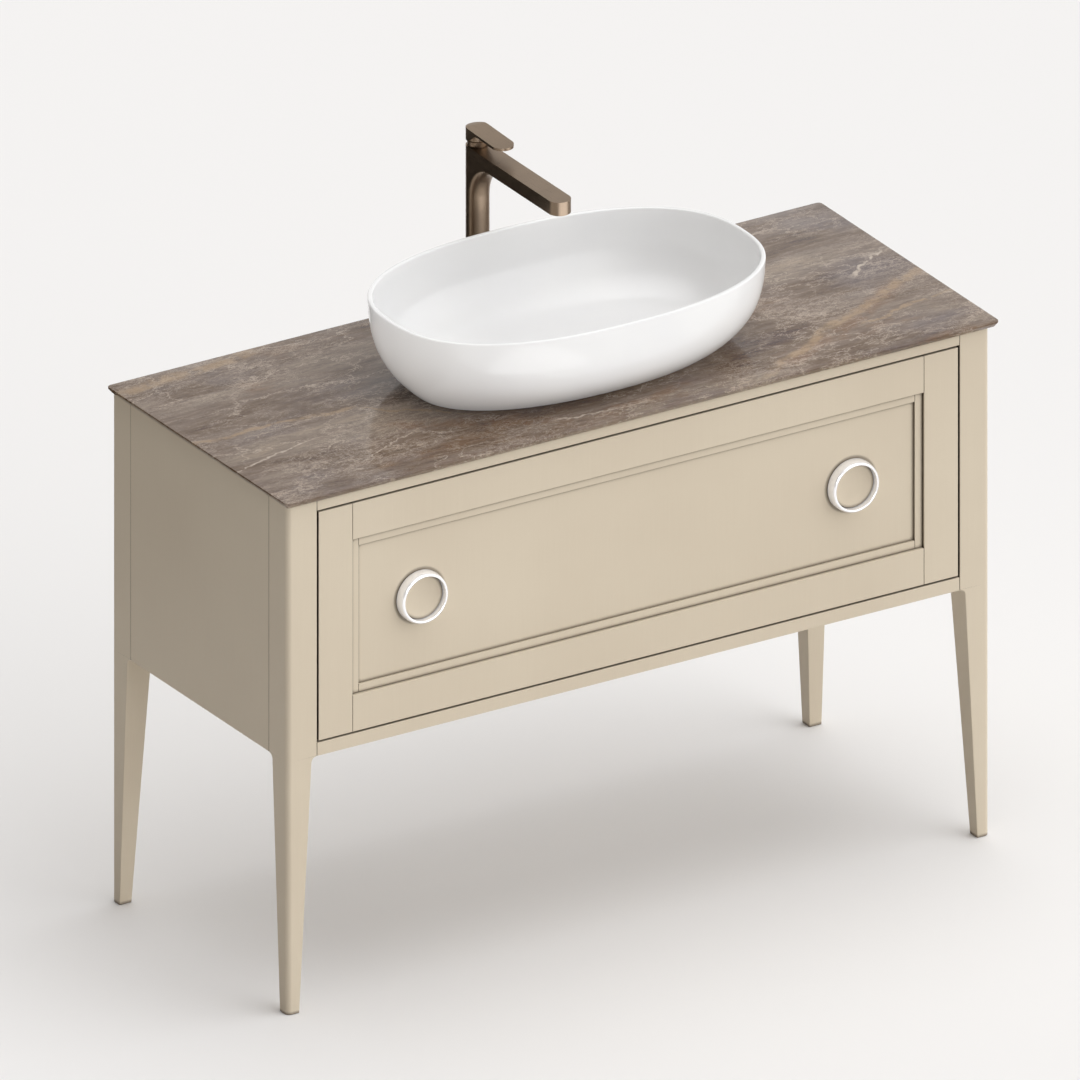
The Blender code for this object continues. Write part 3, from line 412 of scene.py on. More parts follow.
def soften(obj, width, segments=3):
    """Round the sharp edges and keep the flats flat."""
    bevel = obj.modifiers.new("edges", "BEVEL")
    bevel.width = width
    bevel.segments = segments
    bevel.limit_method = "ANGLE"
    bevel.angle_limit = math.radians(35)
    obj.data.shade_smooth()
    weighted = obj.modifiers.new("normals", "WEIGHTED_NORMAL")
    weighted.keep_sharp = True
    obj.data.set_sharp_from_angle(angle=math.radians(180))


def carve(obj, cutter_mesh, operation="DIFFERENCE"):
    """Cut a shape out of a piece for good, or join one to it."""
    bmesh.ops.recalc_face_normals(cutter_mesh, faces=cutter_mesh.faces)
    mesh = bpy.data.meshes.new("cutter")
    cutter_mesh.to_mesh(mesh)
    cutter_mesh.free()
    cutter = bpy.data.objects.new("cutter", mesh)
    bpy.context.scene.collection.objects.link(cutter)
    boolean = obj.modifiers.new("carve", "BOOLEAN")
    boolean.object = cutter
    boolean.operation = operation
    boolean.solver = "EXACT"
    evaluated = obj.evaluated_get(bpy.context.evaluated_depsgraph_get())
    carved = bpy.data.meshes.new_from_object(evaluated)
    obj.modifiers.remove(boolean)
    obj.data = carved
    bpy.data.objects.remove(cutter)


def arc(centre, radius, start, end, steps):
    """Points of an arc in a plane, angles in degrees, both ends included."""
    points = []
    for step in range(steps + 1):
        angle = math.radians(start + (end - start) * step / steps)
        points.append((centre[0] + radius * math.cos(angle), centre[1] + radius * math.sin(angle)))
    return points


def loft(loops, ring=False):
    """Skin matching loops; capped at both ends, or joined last to first as a ring."""
    bm = bmesh.new()
    rows = [[bm.verts.new(point) for point in loop] for loop in loops]
    pairs = list(zip(rows, rows[1:]))
    if ring:
        pairs.append((rows[-1], rows[0]))
    else:
        bm.faces.new(rows[0])
        bm.faces.new(rows[-1])
    count = len(rows[0])
    for lower, upper in pairs:
        for i in range(count):
            j = (i + 1) % count
            bm.faces.new((lower[i], lower[j], upper[j], upper[i]))
    return bm


def prism(outline, axis, low, high):
    """Extrude a flat outline along X, Y or Z."""
    loops = []
    for level in (low, high):
        loop = []
        for first, second in outline:
            point = [first, second]
            point.insert("XYZ".index(axis), level)
            loop.append(point)
        loops.append(loop)
    return loft(loops)


def block(size, centre):
    bm = bmesh.new()
    bmesh.ops.create_cube(bm, size=1.0)
    bmesh.ops.scale(bm, vec=size, verts=bm.verts)
    bmesh.ops.translate(bm, vec=centre, verts=bm.verts)
    return bm


def revolve(profile, axis_point, direction="Z", sides=96):
    """Turn a closed (radius, distance) profile about an axis; radius 0 becomes one vertex."""
    turn = {
        "Z": Matrix.Identity(3),
        "Y": Matrix.Rotation(math.radians(-90), 3, "X"),
        "-Y": Matrix.Rotation(math.radians(90), 3, "X"),
    }[direction]
    bm = bmesh.new()
    rings = []
    for radius, distance in profile:
        ring = []
        for i in range(sides if radius > 0 else 1):
            angle = 2 * math.pi * i / sides
            local = Vector((radius * math.cos(angle), radius * math.sin(angle), distance))
            ring.append(bm.verts.new(turn @ local + Vector(axis_point)))
        rings.append(ring)
    for ring, after in zip(rings, rings[1:] + rings[:1]):
        join_rings(bm, ring, after)
    return bm


def join_rings(bm, ring, after):
    if len(ring) == 1 and len(after) == 1:
        return
    sides = max(len(ring), len(after))
    for i in range(sides):
        j = (i + 1) % sides
        corners = [ring[i % len(ring)], ring[j % len(ring)], after[j % len(after)], after[i % len(after)]]
        bm.faces.new(list(dict.fromkeys(corners)))


def rounded(profile, radius, steps=4):
    """Round the corners of a closed profile, but not those on the axis."""
    result = []
    count = len(profile)
    for i, corner in enumerate(profile):
        here = Vector(corner)
        if here.x == 0:
            result.append(corner)
            continue
        before = Vector(profile[i - 1]) - here
        after = Vector(profile[(i + 1) % count]) - here
        reach = min(radius, before.length * 0.45, after.length * 0.45)
        start = here + before.normalized() * reach
        end = here + after.normalized() * reach
        for step in range(steps + 1):
            t = step / steps
            point = start * (1 - t) ** 2 + here * 2 * t * (1 - t) + end * t * t
            result.append((max(point.x, 0.0), point.y))
    return result


def centre_of(node):
    low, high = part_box(node)
    return (low + high) / 2


def measures(node):
    """A node's lowest and highest corners, half its width, and its middle in plan."""
    low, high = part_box(node)
    centre = (low + high) / 2
    return low, high, (high.x - low.x) / 2, (centre.x, centre.y, 0)


# ----------------------------------------------------------- cabinet, drawer

def make_board(node, edge=0.0009):
    """A rectangular board with softened edges."""
    low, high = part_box(node)
    soften(add_piece(node, block(high - low, centre_of(node))), edge)


LEG_CORNER = 0.008
LEG_TAPER_TOP = 0.041
LEG_FOOT = 0.0205


def leg_section(outer_x, outer_y, inward_x, inward_y, width, z):
    corner = arc((LEG_CORNER, LEG_CORNER), LEG_CORNER, 180, 270, 12)
    section = corner + [(width, 0), (width, width), (0, width)]
    return [(outer_x + inward_x * u, outer_y + inward_y * v, z) for u, v in section]


def make_leg(node):
    """A corner post that turns into a tapered leg below the cabinet, on its two inner faces."""
    low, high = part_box(node)
    size = high.x - low.x
    inward_x = -1 if low.x > 0 else 1
    inward_y = -1 if low.y > 0 else 1
    outer_x = high.x if low.x > 0 else low.x
    outer_y = high.y if low.y > 0 else low.y
    body_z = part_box("side_panel_left")[0].z
    fillet = size - LEG_TAPER_TOP
    widths = [(LEG_FOOT, low.z)] + arc((size, body_z - fillet), fillet, 180, 90, 10) + [(size, high.z)]
    loops = [leg_section(outer_x, outer_y, inward_x, inward_y, width, z) for width, z in widths]
    soften(add_piece(node, loft(loops)), 0.0012)


FIT = 0.0003                      # gap between a piece and the hole that it sits in
RING_SLOPE = 0.65                 # share of the ring's wall that its outer slope takes
RING_CURVE = 2.4


def make_knob(side):
    """Chrome ring round a dished insert in the drawer's colour."""
    low, high, radius, axis = measures("knob_ring_" + side)
    depth = high.y - low.y
    dish_low, dish_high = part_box("knob_dish_" + side)
    bore = (dish_high.x - dish_low.x) / 2
    centre = (axis[0], high.y, (low.z + high.z) / 2)
    lip = (radius - bore) * RING_SLOPE
    inner = bore + FIT
    small = radius - lip - inner
    chamfer = 0.001
    profile = [(inner, 0), (radius - chamfer, 0), (radius, chamfer)]
    steps = 12
    for step in range(1, steps + 1):
        rise = step / steps
        slope = math.sqrt(1 - rise ** RING_CURVE * 0.9999)
        profile.append((radius - lip * (1 - slope), depth * rise))
    profile += [(inner + small - x, y) for x, y in arc((0, depth - small), small, 90, 0, 8)[1:]]
    add_piece("knob_ring_" + side, revolve(profile, centre, "-Y", 128), 50)
    dish_depth = dish_high.y - dish_low.y
    sag = dish_depth * 0.5
    edge = 0.0006
    profile = [(0, 0), (bore, 0), (bore, dish_depth - edge), (bore - edge, dish_depth)]
    steps = 14
    for step in range(1, steps + 1):
        out = 1 - step / steps
        profile.append(((bore - edge) * out, dish_depth - sag * (1 - out ** 2)))
    add_piece("knob_dish_" + side, revolve(profile, centre, "-Y"))


def make_knob_screw(side):
    """Pan-head screw with a cross recess, behind the drawer's panel."""
    node = "knob_screw_" + side
    low, high, radius, axis = measures(node)
    shank = 0.0020
    height = 0.0022
    centre = (axis[0], 0, centre_of(node).z)
    profile = [(0, low.y), (shank, low.y), (shank, high.y - height), (radius, high.y - height)]
    profile += [(radius, high.y - height * 0.6), (radius * 0.8, high.y - 0.0002), (0, high.y)]
    screw = add_piece(node, revolve(profile, centre, "Y", 48))
    long, thin, deep = 0.0044, 0.0009, 0.0024
    for size_x, size_z in ((long, thin), (thin, long)):
        carve(screw, block((size_x, deep, size_z), (centre[0], high.y, centre[2])))


def make_cutout_wall():
    """Bent wall round the trap, open to the rear."""
    node = "siphon_cutout_wall"
    low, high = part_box(node)
    wall = 0.012
    outline = [
        (low.x, high.y), (low.x, low.y), (high.x, low.y), (high.x, high.y),
        (high.x - wall, high.y), (high.x - wall, low.y + wall),
        (low.x + wall, low.y + wall), (low.x + wall, high.y),
    ]
    soften(add_piece(node, prism(outline, "Z", low.z, high.z)), 0.0009)


def make_channel(node):
    """Folded steel runner member."""
    low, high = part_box(node)
    sheet = 0.0012
    faces_in = not node.startswith("runner_drawer")
    side = 1 if low.x > 0 else -1
    web_at_high = (side > 0) == faces_in
    web = high.x if web_at_high else low.x
    tip = low.x if web_at_high else high.x
    inner = web + math.copysign(sheet, tip - web)
    outline = [
        (web, low.z), (tip, low.z), (tip, low.z + sheet), (inner, low.z + sheet),
        (inner, high.z - sheet), (tip, high.z - sheet), (tip, high.z), (web, high.z),
    ]
    soften(add_piece(node, prism(outline, "Y", low.y, high.y)), 0.0004, 2)


def make_furniture():
    boards = [
        "side_panel_left", "side_panel_right", "front_bottom_rail", "front_top_rail",
        "rear_bottom_rail", "rear_top_rail", "drawer_stile_left", "drawer_stile_right",
        "drawer_rail_bottom", "drawer_rail_top", "drawer_panel", "drawer_side_left",
        "drawer_side_right", "drawer_back_left", "drawer_back_right", "drawer_bottom",
    ]
    for node in boards:
        make_board(node)
    for end in ("front", "rear"):
        for side in ("left", "right"):
            make_leg(f"leg_{end}_{side}")
    for side in ("bottom", "right", "top", "left"):
        make_board("moulding_" + side, 0.0007)
    for side in ("left", "right"):
        make_knob(side)
        make_knob_screw(side)
        for member in ("fixed", "middle", "drawer"):
            make_channel(f"runner_{member}_{side}")
    make_cutout_wall()


# ------------------------------------------------------------------- worktop

def rounded_rectangle(half_x, half_y, radius, z):
    loop = []
    for sign_x, sign_y, start in ((1, 1, 0), (-1, 1, 90), (-1, -1, 180), (1, -1, 270)):
        centre = (sign_x * (half_x - radius), sign_y * (half_y - radius))
        loop += [(x, y, z) for x, y in arc(centre, radius, start, start + 90, 12)]
    return loop


def rod(radius, low, high):
    return [(0, low), (radius, low), (radius, high), (0, high)]


def make_worktop():
    low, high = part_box("countertop")
    lip = 0.003
    undercut = 0.006
    corner = 0.007
    blunt = 0.0003                # rounding of the undercut's edge
    ease = 0.0006                 # rounding of the upper edge
    waste_hole = 0.0235
    tap_hole = 0.0170
    loops = [rounded_rectangle(high.x - undercut, high.y - undercut, 0.001, low.z)]
    loops.append(rounded_rectangle(high.x - blunt, high.y - blunt, corner - blunt, high.z - lip - blunt))
    loops.append(rounded_rectangle(high.x, high.y, corner, high.z - lip + 0.0002))
    for inset, drop in arc((ease, -ease), ease, 180, 90, 4):
        loops.append(rounded_rectangle(high.x - inset, high.y - inset, corner - inset, high.z + drop))
    top = add_piece("countertop", loft(loops), 30)
    waste = centre_of("drain_flange")
    tap = centre_of("faucet_shank")
    span = (low.z - 0.01, high.z + 0.01)
    carve(top, revolve(rod(waste_hole, *span), (waste.x, waste.y, 0), sides=64))
    carve(top, revolve(rod(tap_hole, *span), (tap.x, tap.y, 0), sides=64))
    top.data.set_sharp_from_angle(angle=math.radians(30))


# --------------------------------------------------------------------- basin

BASIN_POWER = 2.44
BASIN_FOOT_POWER = 2.21
BASIN_FOOT_INSET = (0.056, 0.067)
BASIN_WALL_CURVE = 3.0
BASIN_RIM = 0.007
BASIN_RIM_ROUND = 0.0025
BASIN_BOWL_INSET = 0.090
BASIN_BOWL_STRETCH = 1.1          # the bowl comes in this much more from front and rear
BASIN_BOWL_CURVE = 0.8
BASIN_FLOOR_FALL = 0.0022
BASIN_SIDES = 224
DRAIN_HOLE = 0.0232
DRAIN_RECESS = 0.033
FLOOR_BELOW_CAP = 0.0052
SEAT_BELOW_FLANGE = 0.0031


def oval(centre_y, half_a, half_b, power, z):
    loop = []
    for i in range(BASIN_SIDES):
        angle = 2 * math.pi * i / BASIN_SIDES
        cosine = math.cos(angle)
        sine = math.sin(angle)
        x = half_a * math.copysign(abs(cosine) ** (2 / power), cosine)
        y = half_b * math.copysign(abs(sine) ** (2 / power), sine)
        loop.append((x, centre_y + y, z))
    return loop


def basin_loops():
    """Loops from the waste hole's lower edge, out under the foot, up, over the rim and down the bowl."""
    low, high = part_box("sink_basin")
    centre_y = (low.y + high.y) / 2
    half_a = (high.x - low.x) / 2
    half_b = (high.y - low.y) / 2
    height = high.z - low.z
    floor_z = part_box("drain_cap")[1].z - FLOOR_BELOW_CAP
    seat_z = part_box("drain_flange")[1].z - SEAT_BELOW_FLANGE

    def outer(rise):
        below = 1 - rise / height
        inset = below ** BASIN_WALL_CURVE
        power = BASIN_POWER + (BASIN_FOOT_POWER - BASIN_POWER) * below
        across = half_a - BASIN_FOOT_INSET[0] * inset
        return (across, half_b - BASIN_FOOT_INSET[1] * inset, power)

    loops = []

    def add(half_x, half_y, power, z):
        loops.append(oval(centre_y, half_x, half_y, power, z))

    add(DRAIN_HOLE, DRAIN_HOLE, 2, low.z)
    foot_a, foot_b, foot_power = outer(0)
    wall_base = 0.0016
    foot = ((0.0060, 0.0), (0.0050, 0.0), (0.0046, 0.0009), (0.0020, 0.0011), (0.0005, wall_base))
    for inset, rise in foot:
        add(foot_a - inset, foot_b - inset, foot_power, low.z + rise)
    steps = 28
    for step in range(1, steps + 1):
        rise = wall_base + (height - BASIN_RIM_ROUND - wall_base) * (step / steps) ** 1.5
        add(*outer(rise), low.z + rise)
    rim = BASIN_RIM_ROUND
    crest = arc((rim, -rim), rim, 180, 90, 5)[1:] + arc((BASIN_RIM - rim, -rim), rim, 90, 0, 5)
    for inset, drop in crest:
        add(half_a - inset, half_b - inset, BASIN_POWER, high.z + drop)
    depth = high.z - rim - floor_z
    steps = 32
    for step in range(1, steps + 1):
        angle = math.radians(90 * step / steps)
        across = 1 - max(math.cos(angle), 0.0) ** BASIN_BOWL_CURVE
        inset = BASIN_RIM + BASIN_BOWL_INSET * across
        power = BASIN_POWER + (BASIN_FOOT_POWER - BASIN_POWER) * across
        z = high.z - rim - depth * math.sin(angle) ** BASIN_BOWL_CURVE
        add(half_a - inset, half_b - inset * BASIN_BOWL_STRETCH, power, z)
    last = BASIN_RIM + BASIN_BOWL_INSET
    start = Vector((half_a - last, half_b - last * BASIN_BOWL_STRETCH))
    steps = 8
    for step in range(1, steps + 1):
        t = step / steps
        size = start.lerp(Vector((DRAIN_RECESS, DRAIN_RECESS)), t)
        power = BASIN_FOOT_POWER + (2 - BASIN_FOOT_POWER) * t
        add(size.x, size.y, power, floor_z - BASIN_FLOOR_FALL * t ** 1.4)
    edge = 0.0004
    wall = DRAIN_RECESS - edge
    add(wall, wall, 2, floor_z - BASIN_FLOOR_FALL - edge)
    add(wall, wall, 2, seat_z)
    add(DRAIN_HOLE, DRAIN_HOLE, 2, seat_z)
    return loops


def make_basin():
    add_piece("sink_basin", loft(basin_loops(), ring=True), 60)


# ------------------------------------------------------------ waste and trap

PIPE_RADIUS = 0.016
PIPE_BORE = 0.0146
PIPE_SOCKET = 0.0163


def make_drain():
    """Crowned cap on a rod with a guide disc, and the flange that it sits in."""
    low, high, radius, axis = measures("drain_cap")
    crown = 0.0045
    edge_z = high.z - crown
    rim_z = edge_z - 0.0025
    stalk = 0.004
    guide = 0.0165
    guide_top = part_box("countertop")[1].z - 0.008
    guide_base = guide_top - 0.003
    profile = [(0, low.z), (stalk, low.z), (stalk, guide_base), (guide, guide_base)]
    profile += [(guide, guide_top), (stalk, guide_top), (stalk, rim_z)]
    profile += [(radius - 0.0006, rim_z), (radius, rim_z + 0.0006), (radius, edge_z - 0.0004)]
    steps = 16
    for step in range(1, steps + 1):
        out = 1 - step / steps
        profile.append((radius * out, edge_z + crown * (1 - out ** 2.6)))
    add_piece("drain_cap", revolve(profile, axis), 50)
    low, high, radius, axis = measures("drain_flange")
    seat = high.z - 0.0028
    bore = 0.018
    thread = 0.0225
    profile = [(bore, low.z), (thread, low.z), (thread, seat), (radius, seat)]
    profile += [(radius, high.z - 0.0012), (radius - 0.002, high.z), (bore + 0.003, high.z), (bore, seat)]
    add_piece("drain_flange", revolve(rounded(profile, 0.0006), axis), 50)


def ribbed_nut(node, bore, ribs):
    """Turned nut with gripping ribs round it."""
    low, high, radius, axis = measures(node)
    sides = ribs * 8
    loops = []
    chamfer = 0.0008
    levels = [(low.z, chamfer), (low.z + chamfer, 0), (high.z - chamfer, 0), (high.z, chamfer)]
    for z, inset in levels:
        loop = []
        for i in range(sides):
            angle = 2 * math.pi * i / sides
            wave = 0.5 + 0.5 * math.cos(angle * ribs)
            out = radius - inset - 0.0012 * wave ** 2
            loop.append((axis[0] + out * math.cos(angle), axis[1] + out * math.sin(angle), z))
        loops.append(loop)
    for z in (high.z, low.z):
        loop = []
        for i in range(sides):
            angle = 2 * math.pi * i / sides
            loop.append((axis[0] + bore * math.cos(angle), axis[1] + bore * math.sin(angle), z))
        loops.append(loop)
    add_piece(node, loft(loops, ring=True), 50)


def make_tube(node, outer, inner, sides=64):
    low, high, _, axis = measures(node)
    profile = [(outer, low.z), (outer, high.z), (inner, high.z), (inner, low.z)]
    profile = rounded(profile, 0.0005, 3)
    add_piece(node, revolve(profile, axis, sides=sides), 50)


def make_trap():
    """Bottle trap with its cup, tailpiece, outlet pipe, wall flange and nuts."""
    low, high, radius, axis = measures("trap_body")
    chamber = radius - 0.003
    shoulder = high.z - 0.016
    neck = 0.020
    profile = [(chamber, low.z), (radius, low.z), (radius, shoulder - 0.006), (neck, shoulder)]
    profile += [(neck, high.z), (PIPE_SOCKET, high.z), (PIPE_SOCKET, shoulder - 0.004)]
    profile += [(chamber, shoulder - 0.010)]
    body = add_piece("trap_body", revolve(rounded(profile, 0.002), axis), 50)
    outlet_z = centre_of("trap_outlet_pipe").z
    carve(body, revolve(rod(PIPE_SOCKET, 0.020, 0.060), (axis[0], axis[1], outlet_z), "Y"))
    body.data.set_sharp_from_angle(angle=math.radians(40))
    low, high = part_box("trap_cup")
    slant = 0.008
    profile = [(0, low.z), (radius - slant, low.z), (radius, low.z + slant), (radius, high.z)]
    profile += [(chamber, high.z), (chamber, low.z + 0.010), (0, low.z + 0.004)]
    add_piece("trap_cup", revolve(rounded(profile, 0.003), axis), 50)
    low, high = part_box("drain_tailpiece")
    flare = 0.0215
    flare_z = high.z - 0.0047
    profile = [(PIPE_BORE, low.z), (PIPE_RADIUS, low.z), (PIPE_RADIUS, flare_z), (flare, flare_z)]
    profile += [(flare, high.z), (PIPE_BORE, high.z)]
    add_piece("drain_tailpiece", revolve(rounded(profile, 0.0006), axis), 50)
    low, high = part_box("trap_outlet_pipe")
    profile = [(PIPE_RADIUS, low.y), (PIPE_RADIUS, high.y), (PIPE_BORE, high.y), (PIPE_BORE, low.y)]
    outlet = (axis[0], 0, outlet_z)
    add_piece("trap_outlet_pipe", revolve(rounded(profile, 0.0004), outlet, "Y"), 50)
    low, high, radius, axis = measures("wall_flange")
    profile = [(PIPE_SOCKET, low.y), (0.022, low.y), (radius, high.y - 0.002), (radius, high.y)]
    profile += [(PIPE_SOCKET, high.y)]
    add_piece("wall_flange", revolve(rounded(profile, 0.0014), outlet, "Y"), 50)
    ribbed_nut("trap_nut", PIPE_SOCKET, 24)
    ribbed_nut("drain_nut", 0.0228, 24)


# ----------------------------------------------------------------- mixer tap

TAP_ARC = 40
TAP_FILLET = 0.056


def stadium(radius, rear_y, nose_y, z):
    """Outline with a round rear end and a round nose towards -Y."""
    rear = arc((0, rear_y), radius, 0, 180, TAP_ARC)
    nose = arc((0, nose_y), radius, 180, 360, TAP_ARC)
    return [(x, y, z) for x, y in rear + nose]


def tap_shell(radius, rear_y, tip_y, base_z, spout_z, top_z, fillet):
    """Post, fillet and spout as one skin."""
    round_nose = rear_y - 0.0005
    loops = [stadium(radius, rear_y, round_nose, z) for z in (base_z, spout_z - fillet)]
    steps = 24
    for step in range(1, steps + 1):
        angle = math.radians(90 * step / steps)
        nose = round_nose - fillet * (1 - math.cos(angle))
        loops.append(stadium(radius, rear_y, nose, spout_z - fillet + fillet * math.sin(angle)))
    bm = loft(loops[:-1])
    bm.verts.ensure_lookup_table()
    lid = max(bm.faces, key=lambda face: face.calc_center_median().z)
    bmesh.ops.delete(bm, geom=[lid], context="FACES_ONLY")
    bm.verts.ensure_lookup_table()
    half = len(loops[0]) // 2
    lower = bm.verts[-2 * half:]
    post = [bm.verts.new(point) for point in loops[-1]]
    for i in range(2 * half):
        j = (i + 1) % (2 * half)
        bm.faces.new((lower[i], lower[j], post[j], post[i]))
    tip = [bm.verts.new(point) for point in stadium(radius, rear_y, tip_y, spout_z)[half:]]
    top = [bm.verts.new(point) for point in stadium(radius, rear_y, tip_y, top_z)]
    for i in range(half - 1):
        bm.faces.new((post[half + i], post[half + i + 1], tip[i + 1], tip[i]))
        bm.faces.new((tip[i], tip[i + 1], top[half + i + 1], top[half + i]))
        bm.faces.new((post[i], post[i + 1], top[i + 1], top[i]))
    bm.faces.new((post[half - 1], post[half], tip[0], top[half], top[half - 1]))
    bm.faces.new((tip[-1], post[-1], post[0], top[0], top[-1]))
    bm.faces.new(top)
    return bm


def make_tap_body():
    """The post and spout, with the cartridge's socket and the aerator's seat cut out."""
    low, high, radius, axis = measures("faucet_body")
    rear_y = high.y - radius
    spout_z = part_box("aerator")[0].z - 0.0005
    shell = tap_shell(radius, rear_y, low.y + radius, low.z, spout_z, high.z, TAP_FILLET)
    body = add_piece("faucet_body", shell, 30)
    base, _, radius, _ = measures("cartridge")
    hole = rod(radius + FIT, base.z - FIT, high.z + 0.005)
    carve(body, revolve(hole, (0, rear_y, 0), sides=64))
    _, top, radius, axis = measures("aerator")
    hole = rod(radius + FIT, spout_z - 0.005, top.z + 0.0005)
    carve(body, revolve(hole, axis, sides=64))
    soften(body, 0.0007)


def make_aerator():
    """Flow straightener with a ring of slots."""
    low, high, radius, axis = measures("aerator")
    face = low.z + 0.0022
    deep = low.z + 0.0034
    pitch = 0.0030
    profile = [(0, low.z + 0.0030), (0.0028, low.z + 0.0030), (pitch, face)]
    for ring in range(1, 4):
        inner = pitch * ring
        profile += [(inner + 0.0008, face), (inner + 0.0010, deep)]
        profile += [(inner + 0.0018, deep), (inner + 0.0020, face)]
    profile = [point for point in profile if point[0] < radius - 0.0026]
    profile += [(radius - 0.0024, face), (radius - 0.0022, low.z)]
    profile += [(radius, low.z), (radius, high.z), (0, high.z)]
    add_piece("aerator", revolve(profile, axis, sides=64))


def make_tap_fittings():
    """Cartridge and its nut, supply inlets, and the shank with its nut under the worktop."""
    low, high, radius, axis = measures("cartridge")
    bore = 0.007
    depth = 0.013
    profile = [(0, low.z), (radius, low.z), (radius, high.z), (bore, high.z)]
    profile += [(bore, high.z - depth), (0, high.z - depth)]
    add_piece("cartridge", revolve(rounded(profile, 0.0006, 3), axis, sides=64), 50)
    make_tube("cartridge_nut", radius, 0.0095)
    for supply in ("hot", "cold"):
        make_tube("inlet_" + supply, 0.005, 0.003, 40)
    make_shank()
    ribbed_nut("faucet_nut", 0.0168, 18)


def make_shank():
    """Threaded shank: the thread is a row of fine ridges."""
    low, high, radius, axis = measures("faucet_shank")
    bore = 0.0125
    pitch = 0.0010
    count = int((high.z - low.z - 0.002) / pitch)
    profile = [(bore, low.z), (radius - 0.0006, low.z)]
    for ridge in range(count):
        z = low.z + 0.001 + ridge * pitch
        profile += [(radius - 0.0005, z), (radius, z + pitch / 2)]
    profile += [(radius - 0.0006, high.z), (bore, high.z)]
    add_piece("faucet_shank", revolve(profile, axis, sides=64), 80)


def make_collar():
    """Collar with a domed top, round the ball centre that the lever lifts about."""
    low, high, radius, axis = measures("lever_collar")
    bore = COLLAR_BORE
    pivot_z = LIFT_PIVOT.z
    dome = math.hypot(bore, high.z - pivot_z)
    groove = 0.0008
    profile = [(bore, low.z), (radius - groove, low.z), (radius - groove, low.z + groove)]
    profile += [(radius, low.z + groove * 1.5)]
    steps = 16
    for step in range(steps + 1):
        out = radius + (bore - radius) * step / steps
        profile.append((out, pivot_z + math.sqrt(dome ** 2 - out ** 2)))
    add_piece("lever_collar", revolve(profile, axis), 50)


LIFT_JOINT = next(joint for joint in frame["joints"] if joint["name"] == "lever_lift")
LIFT_PIVOT = Vector(LIFT_JOINT["pos_m"])
COLLAR_BORE = 0.009
LEVER_TIP = 0.004                 # thickness of the grip
LEVER_FACET = 0.0056              # from the axis back to where the top slants down
LEVER_SLANT = 0.12
LEVER_FALL = 0.0027               # how much lower the top is at the tip
LEVER_WEDGE = 0.021               # the heel thins into the grip over this length
LEVER_BOSS = 0.0143
STEM_RADIUS = 0.0035
STEM_SPAN = (-0.004, 0.037)       # along the stem, from the pivot
STEM_LEAN = 10
NEAR = 1e-6


def make_lever():
    """Thin grip on a round boss, with a deep heel behind that thins out past the axis."""
    low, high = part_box("lever_handle")
    radius = (high.x - low.x) / 2
    axis_y = high.y - radius
    facet_y = axis_y + LEVER_FACET
    thin_y = axis_y - LEVER_WEDGE
    reach = axis_y - (low.y + radius)

    def top(y):
        if y > facet_y:
            return high.z - LEVER_SLANT * (y - facet_y)
        return high.z - LEVER_FALL * (facet_y - y) / (facet_y - low.y)

    def base(y):
        if y <= thin_y:
            return top(y) - LEVER_TIP
        rise = top(thin_y) - LEVER_TIP - low.z
        return low.z + rise * max(axis_y - y, 0) / LEVER_WEDGE

    facet_turn = math.degrees(math.asin(LEVER_FACET / radius))
    outline = arc((0, axis_y), radius, facet_turn, 180 - facet_turn, 36)
    outline += [(-radius, axis_y), (-radius, thin_y)]
    outline += arc((0, axis_y - reach), radius, 180, 360, 48)
    outline += [(radius, thin_y), (radius, axis_y)]
    bm = bmesh.new()
    lower = [bm.verts.new((x, y, base(y))) for x, y in outline]
    upper = [bm.verts.new((x, y, top(y))) for x, y in outline]
    count = len(outline)
    for i in range(count):
        j = (i + 1) % count
        bm.faces.new((lower[i], lower[j], upper[j], upper[i]))
    behind = [i for i in range(count) if outline[i][1] >= facet_y - NEAR]
    ahead = [i for i in range(count) if i not in behind[1:-1]]
    split = ahead.index(behind[-1])
    bm.faces.new([upper[i] for i in behind])
    bm.faces.new([upper[i] for i in ahead[split:] + ahead[:split]])
    for start, end in ((axis_y, high.y), (thin_y, axis_y), (low.y, thin_y)):
        span = (start - NEAR, end + NEAR)
        bm.faces.new([lower[i] for i in range(count) if span[0] <= outline[i][1] <= span[1]])
    handle = add_piece("lever_handle", bm, 30)
    boss = rod(LEVER_BOSS, low.z + 0.0002, high.z - 0.004)
    carve(handle, revolve(boss, (0, axis_y, 0)), "UNION")
    ball = bmesh.new()
    dome = math.hypot(COLLAR_BORE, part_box("lever_collar")[1].z - LIFT_PIVOT.z)
    bmesh.ops.create_uvsphere(ball, u_segments=64, v_segments=48, radius=dome + 2 * FIT)
    bmesh.ops.translate(ball, verts=ball.verts, vec=LIFT_PIVOT)
    carve(handle, ball)
    soften(handle, 0.0007)


def make_stem():
    """Round spindle with softened ends, leaning forwards at rest."""
    bm = revolve(rounded(rod(STEM_RADIUS, *STEM_SPAN), 0.0006, 3), (0, 0, 0), sides=48)
    lean = Matrix.Translation(LIFT_PIVOT) @ Matrix.Rotation(math.radians(STEM_LEAN), 4, "X")
    bmesh.ops.transform(bm, matrix=lean, verts=bm.verts)
    add_piece("lever_stem", bm, 50)


# ------------------------------------------------------------ stage and view

def add_sheet(name, corners, colour):
    """Flat matt sheet of the studio, not part of the object."""
    mesh = bpy.data.meshes.new(name)
    mesh.from_pydata(corners, [], [range(len(corners))])
    sheet = bpy.data.objects.new(name, mesh)
    bpy.context.scene.collection.objects.link(sheet)
    look = Look("studio_" + name, colour, 0.9, Specular_IOR_Level=0.1)
    mesh.materials.append(look.material)
    return sheet


